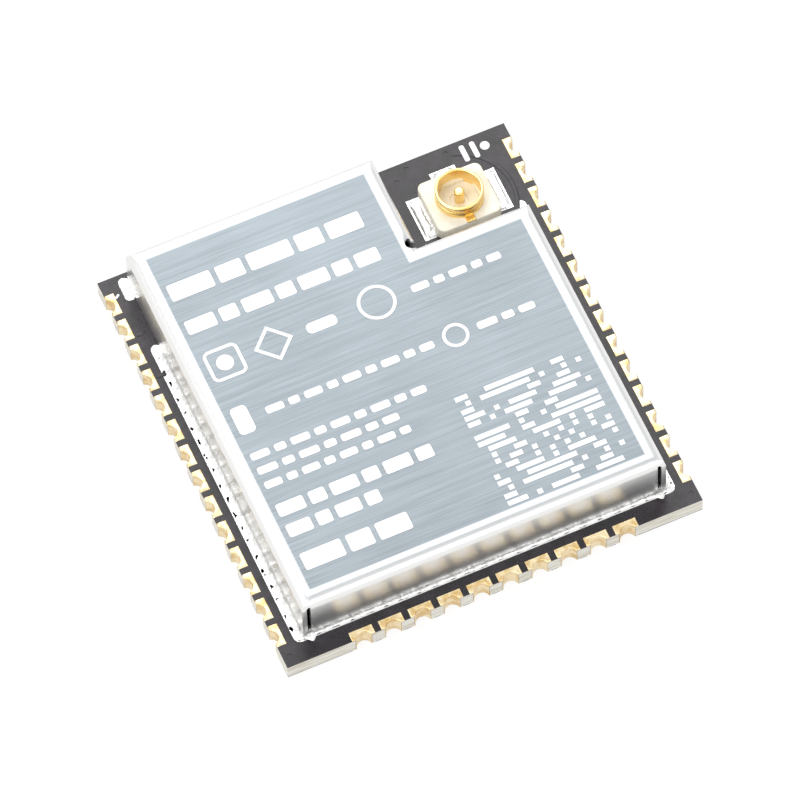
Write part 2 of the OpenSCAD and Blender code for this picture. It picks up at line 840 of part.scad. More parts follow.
module socket_lands() {
    color(tin_color) translate([0, 0, top_foil_z]) linear_extrude(foil_t) socket_land_outline();
}

module socket_solder() {
    color(tin_color)
    translate([socket_pos[0], socket_pos[1], board_t]) {
        for (s = [0, 1]) mirror([s, 0, 0])
            translate([tab_end, -tab_w / 2, 0]) fillet_run(socket_land_out, strip_t, tab_w);
        translate([tail_w / 2, tail_end, 0]) rotate(90)
            fillet_run(socket_land_out, strip_t, tail_w);
        for (s = [0, 1]) mirror([s, 0, 0]) translate([tail_w / 2, housing_l / 2, 0])
            fillet_run(socket_land_out, strip_t, tail_out);
    }
}

// ---- Silkscreen: two bars and a dot behind the socket, and a tick by a contact ----

silk_t = foil_t / 2;
silk_y = board_l / 2 - silk_from_back;
dot_x = board_w / 2 - silk_from_right;
tick_turn = -55;
// Share of a printed bar's width that its corner radius takes
silk_corner_share = 0.4;

module silkscreen_marks() {
    color(mark_color)
    translate([0, 0, board_t])
    linear_extrude(silk_t) {
        translate([dot_x, silk_y]) circle(silk_dot_r);
        for (i = [1, 2])
            translate([dot_x - i * silk_gap, silk_y])
                round_rect([silk_bar_w, silk_bar_l], silk_corner_share * silk_bar_w);
        translate([-board_w / 2 + tick_from_left, board_l / 2 - tick_from_back])
            rotate(tick_turn) round_rect([tick_w, tick_l], silk_corner_share * tick_w);
    }
}

// ---- Parts under the shield ----

// Places each contact of the processor, with +X pointing out of the package
module around_processor() {
    for (turn = [0:3], i = [0:processor_count - 1])
        rotate(90 * turn)
            translate([processor_edge, (i - (processor_count - 1) / 2) * processor_pitch, 0])
                children();
}

module processor_contact_outline(extra) {
    span([-processor_contact_l, -processor_contact_w / 2], [extra, processor_contact_w / 2]);
}

module processor_frame() {
    linear_extrude(processor_frame_t) {
        around_processor() processor_contact_outline(0);
        square(processor_die_pad, center = true);
    }
}

module processor_contacts() {
    color(tin_color) translate([thermal_pos[0], thermal_pos[1], board_t]) processor_frame();
}

module processor_package() {
    color(package_color)
    translate([thermal_pos[0], thermal_pos[1], board_t])
    difference() {
        translate([-processor_edge, -processor_edge, 0]) cube([processor_w, processor_w, processor_h]);
        processor_frame();
    }
}

// Gull-wing lead as an outline: out of the package, down, and along its foot
module lead_outline() {
    shoulder = memory_standoff + memory_h / 2;
    knee = memory_lead_out - memory_foot;
    t = memory_lead_t;
    polygon([
        [0, shoulder + t / 2], [knee / 2 + t, shoulder + t / 2], [knee + t, t],
        [memory_lead_out, t], [memory_lead_out, 0], [knee, 0],
        [knee / 2, shoulder - t / 2], [0, shoulder - t / 2]
    ]);
}

// Places each lead of the memory, with +X pointing out of the package
module around_memory() {
    at_places([memory_place]) for (s = [-1, 1], i = [0:memory_count - 1])
        translate([(i - (memory_count - 1) / 2) * memory_pitch, s * memory_w / 2, 0])
            rotate(90 * s) children();
}

module memory_leads() {
    color(tin_color)
    translate([0, 0, board_t])
    around_memory()
    translate([0, memory_lead_w / 2, 0]) rotate([90, 0, 0])
        linear_extrude(memory_lead_w) lead_outline();
}

// Share of the memory package's height by which each side is drawn in
memory_draft_share = 0.1;

// Moulded package with its four sides drawn in above and below the parting line
module memory_package() {
    draft = memory_draft_share * memory_h;
    half_w = memory_w / 2;
    mid = memory_standoff + memory_h / 2;
    band = memory_lead_t / 2;
    low = memory_standoff;
    high = memory_standoff + memory_h;
    color(package_color)
    translate([0, 0, board_t])
    at_places([memory_place])
    translate([-memory_l / 2, 0, 0]) rotate([90, 0, 90]) linear_extrude(memory_l)
    polygon([
        [-half_w + draft, low], [half_w - draft, low], [half_w, mid - band], [half_w, mid + band],
        [half_w - draft, high], [-half_w + draft, high], [-half_w, mid + band], [-half_w, mid - band]
    ]);
}

module crystal_base() {
    color(ceramic_color)
    translate([0, 0, board_t])
    at_places([crystal_place])
    linear_extrude(crystal_base_h) square([crystal_l, crystal_w], center = true);
}

module crystal_lid() {
    color(sheet_color)
    translate([0, 0, board_t + crystal_base_h])
    at_places([crystal_place])
    linear_extrude(crystal_lid_h)
    round_rect([crystal_l - 2 * crystal_lid_inset, crystal_w - 2 * crystal_lid_inset],
        2 * crystal_lid_inset);
}

// Middle of a two-ended part, between its caps
module chip_body(l, w, h) {
    block([-l / 2 + cap_l, -w / 2, 0], [l / 2 - cap_l, w / 2, h]);
}

module chip_caps(l, w, h) {
    for (s = [0, 1]) mirror([s, 0, 0]) block([l / 2 - cap_l, -w / 2, 0], [l / 2, w / 2, h]);
}

module chip_land_outline(l, w) {
    for (s = [0, 1]) mirror([s, 0])
        span([l / 2 - cap_l, -w / 2], [l / 2 + chip_land_out, w / 2]);
}

module chip_solder(l, w, h) {
    for (s = [0, 1]) mirror([s, 0, 0])
        translate([l / 2, -w / 2, 0]) fillet_run(chip_land_out, h * chip_solder_rise, w);
}

module capacitor_bodies() {
    color(capacitor_color) translate([0, 0, board_t])
        at_places(capacitor_places) chip_body(chip_l, chip_w, capacitor_h);
}

module capacitor_caps() {
    color(tin_color) translate([0, 0, board_t])
        at_places(capacitor_places) chip_caps(chip_l, chip_w, capacitor_h);
}

module resistor_bodies() {
    color(package_color) translate([0, 0, board_t])
        at_places(resistor_places) chip_body(chip_l, chip_w, resistor_h);
}

module resistor_caps() {
    color(tin_color) translate([0, 0, board_t])
        at_places(resistor_places) chip_caps(chip_l, chip_w, resistor_h);
}

module inductor_bodies() {
    color(inductor_color) translate([0, 0, board_t])
        at_places(inductor_places) chip_body(inductor_l, inductor_w, inductor_h);
}

module inductor_caps() {
    color(tin_color) translate([0, 0, board_t])
        at_places(inductor_places) chip_caps(inductor_l, inductor_w, inductor_h);
}

// Share of the crystal's length and width that each of its corner lands takes
crystal_land_share = 1 / 3;

// Lands of every part under the shield, as openings in the mask
module component_land_outline() {
    translate(thermal_pos) {
        around_processor() processor_contact_outline(chip_land_out);
        square(processor_die_pad, center = true);
    }
    around_memory() span([memory_lead_out - memory_foot, -memory_lead_w / 2],
        [memory_lead_out + chip_land_out, memory_lead_w / 2]);
    at_places([crystal_place]) for (sx = [-1, 1], sy = [-1, 1])
        translate(crystal_land_share * [sx * crystal_l, sy * crystal_w])
            square(crystal_land_share * [crystal_l, crystal_w] + [2 * chip_land_out, 0], center = true);
    at_places(capacitor_places) chip_land_outline(chip_l, chip_w);
    at_places(resistor_places) chip_land_outline(chip_l, chip_w);
    at_places(inductor_places) chip_land_outline(inductor_l, inductor_w);
}

module component_lands() {
    color(tin_color) translate([0, 0, top_foil_z]) linear_extrude(foil_t) component_land_outline();
}

module component_solder() {
    color(tin_color)
    translate([0, 0, board_t]) {
        at_places(capacitor_places) chip_solder(chip_l, chip_w, capacitor_h);
        at_places(resistor_places) chip_solder(chip_l, chip_w, resistor_h);
        at_places(inductor_places) chip_solder(inductor_l, inductor_w, inductor_h);
        around_memory() translate([memory_lead_out, -memory_lead_w / 2, 0])
            fillet_run(chip_land_out, memory_lead_t, memory_lead_w);
    }
}

board_laminate();
top_solder_mask();
bottom_solder_mask();
via_barrels();
left_edge_contacts();
right_edge_contacts();
front_edge_contacts();
thermal_pad();
shield_can();
shield_land();
shield_solder();
oval_ground_pad();
shield_marks();
socket_housing();
socket_shell();
socket_pin();
socket_lands();
socket_solder();
silkscreen_marks();
component_lands();
component_solder();
processor_package();
processor_contacts();
memory_package();
memory_leads();
crystal_base();
crystal_lid();
capacitor_bodies();
capacitor_caps();
resistor_bodies();
resistor_caps();
inductor_bodies();
inductor_caps();
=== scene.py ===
"""Looks of a castellated radio module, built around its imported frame.

Lengths in the classes are millimetres in the frame's own axes, and become metres when a mesh is made.
"""

from __future__ import annotations

import json
import logging
import math
from collections.abc import Sequence
from dataclasses import dataclass, field
from enum import Enum
from typing import Protocol

import bmesh
import bpy
import numpy as np
from mathutils import Matrix, Vector


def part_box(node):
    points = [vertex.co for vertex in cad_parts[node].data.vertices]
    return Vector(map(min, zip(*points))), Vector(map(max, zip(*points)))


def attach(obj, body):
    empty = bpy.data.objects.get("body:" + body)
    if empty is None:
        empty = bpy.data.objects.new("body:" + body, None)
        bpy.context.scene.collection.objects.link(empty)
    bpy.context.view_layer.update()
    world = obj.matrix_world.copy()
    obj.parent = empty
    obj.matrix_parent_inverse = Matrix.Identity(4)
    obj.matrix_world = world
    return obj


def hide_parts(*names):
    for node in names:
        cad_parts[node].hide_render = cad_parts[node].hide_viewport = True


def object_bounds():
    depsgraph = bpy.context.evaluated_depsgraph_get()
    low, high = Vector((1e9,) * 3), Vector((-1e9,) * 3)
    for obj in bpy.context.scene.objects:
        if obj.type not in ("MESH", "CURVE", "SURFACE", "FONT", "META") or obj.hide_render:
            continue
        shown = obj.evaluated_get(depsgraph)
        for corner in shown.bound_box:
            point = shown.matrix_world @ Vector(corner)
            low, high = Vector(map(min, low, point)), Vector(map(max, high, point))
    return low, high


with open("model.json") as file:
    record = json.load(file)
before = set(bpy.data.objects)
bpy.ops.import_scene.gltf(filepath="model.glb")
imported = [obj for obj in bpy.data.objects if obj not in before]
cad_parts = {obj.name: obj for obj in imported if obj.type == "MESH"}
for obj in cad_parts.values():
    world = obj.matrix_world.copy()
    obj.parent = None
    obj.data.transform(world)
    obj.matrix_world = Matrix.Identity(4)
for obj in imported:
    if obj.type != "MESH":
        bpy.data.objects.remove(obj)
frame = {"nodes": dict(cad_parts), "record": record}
CAD_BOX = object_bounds()

MM = 0.001
WELL_DEPTH = 0.3
WELL_RIM = 0.02
TURN = 2 * math.pi
Colour = tuple[float, float, float]
Mitre = tuple[np.ndarray, np.ndarray]
log = logging.getLogger("radio_module")


# ---- Numbers and outlines ----


def extent(node: str) -> tuple[np.ndarray, np.ndarray]:
    """Lowest and highest corner of a CAD node.

    Args:
        node: name of the node.

    Returns:
        Both corners in millimetres.
    """
    low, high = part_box(node)
    return np.array(low) / MM, np.array(high) / MM


def mount_point(name: str) -> np.ndarray:
    """Place of a mount in millimetres."""
    mount = next(m for m in frame["record"]["mounts"] if m["name"] == name)
    return np.array(mount["pos_m"]) / MM


def waver(u: np.ndarray, seed: int, waves: int = 6, slowest: float = 0.7) -> np.ndarray:
    """Smooth unevenness: a sum of sines of rising frequency with seeded phases, each weighted 1/n.

    Args:
        u: position along the piece in millimetres.
        seed: choice of phases.
        waves: number of sines.
        slowest: turns per millimetre of the first sine.

    Returns:
        Values of about -1 to 1, in the shape of u.
    """
    phases = np.random.default_rng(seed).uniform(0, TURN, waves)
    order = np.arange(1, waves + 1)
    total = np.sin(TURN * slowest * np.multiply.outer(u, order ** 1.3) + phases) / order
    return total.sum(axis=-1) / 1.5


def round_rect(size: tuple[float, float], r: float, per_corner: int = 8) -> np.ndarray:
    """Rectangle about the origin with round corners, anticlockwise.

    Each corner is a quarter circle: centre + r (cos a, sin a).

    Args:
        size: width and length.
        r: corner radius.
        per_corner: points in each quarter circle.

    Returns:
        Points of the closed outline, one row each.
    """
    turns = np.repeat(np.arange(4), per_corner) * (TURN / 4)
    a = turns + np.tile(np.linspace(0, TURN / 4, per_corner), 4)
    middle = turns + TURN / 8
    centre = np.sign(np.c_[np.cos(middle), np.sin(middle)]) * (np.array(size) / 2 - r)
    return centre + r * np.c_[np.cos(a), np.sin(a)]


def bar_outline(width: float, length: float, points: int = 48) -> np.ndarray:
    """Bar along Y with two round ends: a circle whose halves are drawn apart.

    Args:
        width: width of the bar.
        length: length over its round ends.
        points: points in the outline.

    Returns:
        Points of the closed outline, anticlockwise.
    """
    a = (np.arange(points) + 0.5) * TURN / points
    ends = np.c_[np.zeros(points), np.sign(np.sin(a)) * (length - width) / 2]
    return ends + width / 2 * np.c_[np.cos(a), np.sin(a)]


def inset(outline: np.ndarray, by: float) -> np.ndarray:
    """Outline drawn in by a distance along the inward normal of each point.

    Args:
        outline: closed anticlockwise outline.
        by: distance.

    Returns:
        The inner outline.
    """
    along = np.roll(outline, -1, axis=0) - np.roll(outline, 1, axis=0)
    along /= np.linalg.norm(along, axis=1, keepdims=True)
    return outline + by * np.c_[-along[:, 1], along[:, 0]]


def at_height(outline: np.ndarray, z: float) -> np.ndarray:
    """Flat outline lifted to a height.

    Args:
        outline: points in the plane.
        z: height.

    Returns:
        Points in space.
    """
    return np.c_[outline, np.full(len(outline), z)]


# ---- Shader building ----


class Value:
    """A number that varies over a surface. Arithmetic on it adds Math nodes."""

    def __init__(self, graph: "Graph", socket: bpy.types.NodeSocket) -> None:
        """Wraps one output socket of a graph."""
        self.graph = graph
        self.socket = socket

    def _math(self, operation: str, first: object, second: object) -> "Value":
        """Adds one Math node.

        Args:
            operation: the node's operation.
            first: number or Value.
            second: number or Value.

        Returns:
            The result.
        """
        node = self.graph.add("ShaderNodeMath", {"operation": operation}, {0: first, 1: second})
        return Value(self.graph, node.outputs[0])

    def __add__(self, other: object) -> "Value":
        """Sum."""
        return self._math("ADD", self, other)

    def __radd__(self, other: object) -> "Value":
        """Sum, with the number first."""
        return self._math("ADD", other, self)

    def __sub__(self, other: object) -> "Value":
        """Difference."""
        return self._math("SUBTRACT", self, other)

    def __rsub__(self, other: object) -> "Value":
        """Difference, with the number first."""
        return self._math("SUBTRACT", other, self)

    def __mul__(self, other: object) -> "Value":
        """Product."""
        return self._math("MULTIPLY", self, other)

    def __rmul__(self, other: object) -> "Value":
        """Product, with the number first."""
        return self._math("MULTIPLY", other, self)

    def __truediv__(self, other: object) -> "Value":
        """Quotient."""
        return self._math("DIVIDE", self, other)

    def peak(self, other: object) -> "Value":
        """Larger of the two."""
        return self._math("MAXIMUM", self, other)

    def step(self, low: float, high: float) -> "Value":
        """Smooth step from 0 at low to 1 at high."""
        node = self.graph.add(
            "ShaderNodeMapRange", {"interpolation_type": "SMOOTHSTEP"}, {0: self, 1: low, 2: high}
        )
        return Value(self.graph, node.outputs[0])


class Graph:
    """Node tree of one material or of the world."""

    def __init__(self, tree: bpy.types.NodeTree) -> None:
        """Empties the tree and starts on it."""
        self.tree = tree
        tree.nodes.clear()

    def add(self, kind: str, settings: dict | None = None, inputs: dict | None = None) -> bpy.types.Node:
        """Adds a node, sets it up and connects it.

        Args:
            kind: Blender's name of the node type.
            settings: properties, with a ramp's stops as a list of position and colour.
            inputs: numbers, colours, sockets or Values by the input's name or index.

        Returns:
            The new node.
        """
        node = self.tree.nodes.new(kind)
        for key, value in (settings or {}).items():
            if key == "stops":
                self._set_stops(node.color_ramp, value)
            else:
                setattr(node, key, value)
        for key, value in (inputs or {}).items():
            self.feed(node.inputs[key], value)
        return node

    @staticmethod
    def _set_stops(ramp: bpy.types.ColorRamp, stops: Sequence[tuple[float, Colour]]) -> None:
        """Gives a ramp its stops.

        Args:
            ramp: the node's ramp.
            stops: position and colour of each stop.
        """
        while len(ramp.elements) < len(stops):
            ramp.elements.new(1)
        for element, (position, colour) in zip(ramp.elements, stops):
            element.position = position
            element.color = (*colour, 1)

    def feed(self, socket: bpy.types.NodeSocket, value: object) -> None:
        """Connects a source to an input, or sets the input's own value.

        Args:
            socket: the input.
            value: Value, socket, number or colour.
        """
        source = value.socket if isinstance(value, Value) else value
        if isinstance(source, bpy.types.NodeSocket):
            self.tree.links.new(source, socket)
        elif isinstance(source, tuple) and len(source) == 3 and len(socket.default_value) == 4:
            socket.default_value = (*source, 1)
        else:
            socket.default_value = source

    def value(
        self, kind: str, settings: dict | None = None, inputs: dict | None = None, out: int = 0
    ) -> Value:
        """Adds a node and wraps one of its outputs.

        Args:
            kind: Blender's name of the node type.
            settings: as for add.
            inputs: as for add.
            out: index of the output.

        Returns:
            The wrapped output.
        """
        return Value(self, self.add(kind, settings, inputs).outputs[out])

    def place(self, stretch: Colour = (1, 1, 1)) -> bpy.types.NodeSocket:
        """Place on the object in millimetres, stretched along its axes.

        Args:
            stretch: factor for each axis.

        Returns:
            Vector socket.
        """
        coordinates = self.add("ShaderNodeTexCoord").outputs["Object"]
        scale = tuple(s / MM for s in stretch)
        inputs = {0: coordinates, 1: scale}
        return self.add("ShaderNodeVectorMath", {"operation": "MULTIPLY"}, inputs).outputs[0]

    def noise(
        self, per_mm: float, detail: float = 3, stretch: Colour = (1, 1, 1), rough: float = 0.55
    ) -> Value:
        """Noise of about 0 to 1.

        Args:
            per_mm: features in a millimetre.
            detail: finer layers.
            stretch: factor for each axis.
            rough: weight of the finer layers.

        Returns:
            The noise.
        """
        inputs = {"Vector": self.place(stretch), "Scale": per_mm, "Detail": detail, "Roughness": rough}
        return self.value("ShaderNodeTexNoise", None, inputs)

    def mix(self, factor: object, first: object, second: object) -> bpy.types.NodeSocket:
        """Colour between two colours.

        Args:
            factor: share of the second colour.
            first: colour at 0.
            second: colour at 1.

        Returns:
            Colour socket.
        """
        return self.add("ShaderNodeMix", {"data_type": "RGBA"}, {0: factor, 6: first, 7: second}).outputs[2]

    def ramp(self, factor: object, stops: Sequence[tuple[float, Colour]]) -> bpy.types.NodeSocket:
        """Colour read from a ramp.

        Args:
            factor: place on the ramp.
            stops: position and colour of each stop.

        Returns:
            Colour socket.
        """
        return self.add("ShaderNodeValToRGB", {"stops": stops}, {0: factor}).outputs[0]

    def bump(self, height: Value, depth: float, strength: float = 1) -> bpy.types.NodeSocket:
        """Normal of a surface roughened by a height.

        Args:
            height: relief of about 0 to 1.
            depth: depth of the relief in millimetres.
            strength: share of the relief that shows.

        Returns:
            Normal socket.
        """
        inputs = {"Strength": strength, "Distance": depth * MM, "Height": height}
        return self.add("ShaderNodeBump", None, inputs).outputs[0]

    def surface(self, **inputs: object) -> None:
        """Ends the material in a Principled shader.

        Args:
            inputs: the shader's inputs, with underscores for spaces.
        """
        named = {key.replace("_", " "): value for key, value in inputs.items()}
        shader = self.add("ShaderNodeBsdfPrincipled", None, named)
        self.add("ShaderNodeOutputMaterial", None, {"Surface": shader.outputs[0]})


class Finish(Protocol):
    """A finish that can paint a material's graph."""

    name: str

    def paint(self, graph: Graph) -> None:
        """Builds the finish in a graph."""


MATERIALS: dict[str, bpy.types.Material] = {}


def material_of(finish: Finish) -> bpy.types.Material:
    """Material of a finish, made once.

    Args:
        finish: the finish.

    Returns:
        Its material.
    """
    if finish.name not in MATERIALS:
        material = bpy.data.materials.new(finish.name)
        material.use_nodes = True
        finish.paint(Graph(material.node_tree))
        MATERIALS[finish.name] = material
    return MATERIALS[finish.name]


# ---- Finishes ----


@dataclass(frozen=True)
class Lacquer:
    """Black solder mask: glossy, with a faint purple tint, fine pits and a soft waviness over the weave."""

    name: str = "lacquer"
    colour: Colour = (0.013, 0.0115, 0.0135)
    tint: Colour = (0.03, 0.024, 0.03)

    def paint(self, graph: Graph) -> None:
        """Patches of tint, pits in the gloss, and a bump of weave and pits."""
        patches = graph.noise(1.3, 4)
        pits = graph.noise(14, 2)
        weave = graph.noise(2.2, 1, (1, 1, 0.3))
        graph.surface(
            Base_Color=graph.mix(patches.step(0.35, 0.75), self.colour, self.tint),
            Roughness=0.24 + 0.16 * pits.step(0.3, 0.8),
            Specular_IOR_Level=0.38,
            Normal=graph.bump(weave + 0.25 * pits, 0.006),
        )


@dataclass(frozen=True)
class Laminate:
    """Cut edge of glass cloth in resin: pale, layered along its height, with fibres and dark flecks."""

    name: str = "laminate"
    pale: Colour = (0.74, 0.72, 0.66)
    warm: Colour = (0.56, 0.52, 0.43)
    layers_per_mm: float = 9

    def paint(self, graph: Graph) -> None:
        """Layers from noise drawn out along the board, flecks from finer noise."""
        layers = graph.noise(1, 2, (0.8, 0.8, self.layers_per_mm))
        fibres = graph.noise(1, 3, (9, 9, 22))
        cloth = graph.mix(layers.step(0.35, 0.7), self.pale, self.warm)
        graph.surface(
            Base_Color=graph.mix(0.35 * fibres.step(0.55, 0.8), cloth, (0.35, 0.31, 0.25)),
            Roughness=0.62 + 0.2 * fibres,
            Normal=graph.bump(layers + fibres, 0.02),
        )


@dataclass(frozen=True)
class Plating:
    """Thin gold over nickel: pale to deep gold in patches, with rubbed spots and a fine grain."""

    name: str = "gold_plating"
    pale: Colour = (0.86, 0.72, 0.47)
    deep: Colour = (0.68, 0.47, 0.2)
    shine: float = 0.26
    patch_per_mm: float = 2.5

    def paint(self, graph: Graph) -> None:
        """Patches between the two golds, roughness and bump from a finer grain."""
        patches = graph.noise(self.patch_per_mm, 3)
        grain = graph.noise(26, 2)
        graph.surface(
            Base_Color=graph.mix(patches.step(0.38, 0.68), self.pale, self.deep),
            Metallic=1.0,
            Roughness=self.shine + 0.16 * grain,
            Normal=graph.bump(grain + patches, 0.008),
        )


@dataclass(frozen=True)
class Tin:
    """Tinned or soldered metal: bright, granular, with greyer grain boundaries."""

    name: str = "tinned_metal"
    bright: Colour = (0.83, 0.83, 0.82)
    grey: Colour = (0.42, 0.42, 0.41)
    grains_per_mm: float = 9
    relief: float = 0.02
    shine: float = 0.22

    def paint(self, graph: Graph) -> None:
        """Grains from cells, darker where two grains meet, in slow patches."""
        inputs = {"Vector": graph.place(), "Scale": self.grains_per_mm}
        grains = graph.value("ShaderNodeTexVoronoi", {"feature": "SMOOTH_F1"}, inputs)
        patches = graph.noise(3, 3)
        graph.surface(
            Base_Color=graph.mix((grains * 1.3 - 0.35) * patches, self.bright, self.grey),
            Metallic=1.0,
            Roughness=self.shine + 0.2 * patches,
            Normal=graph.bump(1 - grains + patches, self.relief),
        )


@dataclass(frozen=True)
class BrushedSheet:
    """Rolled sheet: finely brushed along X on top and smoother where it is bent; one metal, with the lid
    painted dark and the bent rim and walls painted bright as painted reflection.

    An attribute tells the distance from the sheet's outer face, in millimetres.
    """

    name: str = "brushed_sheet"
    rim: str = "from_edge"
    # painted reflection: lid and walls are one metal; the lid colour is painted dark, the wall colour
    # painted bright
    lid: Colour = (0.2, 0.226, 0.245)
    wall: Colour = (0.82, 0.82, 0.81)
    reach: float = 1.0
    # painted highlight bands: share of painted bright reflection by distance from the edge, with a painted
    # highlight line just inside the bend
    bands: tuple[tuple[float, float], ...] = (
        (0.16, 1.0), (0.27, 0.62), (0.36, 0.4), (0.44, 0.42), (0.53, 0.8), (0.66, 0)
    )

    def paint(self, graph: Graph) -> None:
        """Brushing is noise drawn out along X; the painted highlight bands blend the walls' painted bright
        reflection into the brushed lid's painted dark reflection, and make the walls smoother.
        """
        hairs = graph.noise(1, 2, (0.35, 34, 1), 0.5)
        streaks = graph.noise(1, 3, (0.12, 5, 1), 0.6)
        clouds = graph.noise(0.25, 2)
        from_edge = graph.value("ShaderNodeAttribute", {"attribute_name": self.rim}, None, 2)
        stops = [(0.0, (1.0,) * 3)] + [(at, (share,) * 3) for at, share in self.bands]
        # share of painted bright reflection: 1 on the walls and bends, 0 on the lid; it also lowers the
        # roughness
        polish_and_painted_reflection = Value(graph, graph.ramp(from_edge / self.reach, stops))
        tone = 0.62 * hairs + 0.3 * streaks + 0.2 * clouds
        low = tuple(c * 0.8 for c in self.lid)
        high = tuple(c * 1.25 for c in self.lid)
        graph.surface(
            # base colour: painted bright reflection on walls and bends, painted dark reflection under the
            # brushing on the lid
            Base_Color=graph.mix(polish_and_painted_reflection, graph.mix(tone.step(0.3, 0.8), low, high), self.wall),
            Metallic=1.0,
            Roughness=0.4 - 0.12 * polish_and_painted_reflection + 0.08 * hairs,
            Normal=graph.bump(hairs + streaks, 0.003, 0.6),
        )


@dataclass(frozen=True)
class Moulding:
    """Moulded resin or fired ceramic: a body colour with soft mottling and a fine grain."""

    name: str
    colour: Colour
    mottle: Colour
    rough: float = 0.5
    grain_per_mm: float = 16
    relief: float = 0.006

    def paint(self, graph: Graph) -> None:
        """Mottling from slow noise, grain in the roughness and the bump."""
        slow = graph.noise(1.8, 3)
        grain = graph.noise(self.grain_per_mm, 3)
        graph.surface(
            Base_Color=graph.mix(slow.step(0.35, 0.7), self.colour, self.mottle),
            Roughness=self.rough + 0.15 * (grain - 0.5),
            Normal=graph.bump(grain, self.relief),
        )


class Finishes(Enum):
    """Finish of each material slot of the record."""

    laminate = Laminate()
    solder_mask = Lacquer()
    copper = Plating("copper", (0.7, 0.4, 0.24), (0.5, 0.26, 0.14), 0.3)
    gold_plating = Plating()
    shield_sheet = BrushedSheet()
    tinned_metal = Tin()
    white_mark = Moulding("white_mark", (0.83, 0.845, 0.86), (0.74, 0.755, 0.77), 0.55, 30, 0.003)
    ivory_moulding = Moulding("ivory_moulding", (0.87, 0.83, 0.72), (0.8, 0.74, 0.6), 0.38, 12, 0.004)
    socket_plating = Plating("socket_plating", (0.93, 0.72, 0.33), (0.83, 0.55, 0.17), 0.14, 0.8)
    black_package = Moulding("black_package", (0.018, 0.018, 0.02), (0.03, 0.03, 0.032), 0.55)
    chip_ceramic = Moulding("chip_ceramic", (0.72, 0.68, 0.6), (0.64, 0.6, 0.5), 0.6)
    capacitor_ceramic = Moulding("capacitor_ceramic", (0.45, 0.34, 0.2), (0.36, 0.26, 0.15), 0.5)
    inductor_ceramic = Moulding("inductor_ceramic", (0.11, 0.15, 0.13), (0.07, 0.1, 0.09), 0.5)


# ---- Surfaces ----


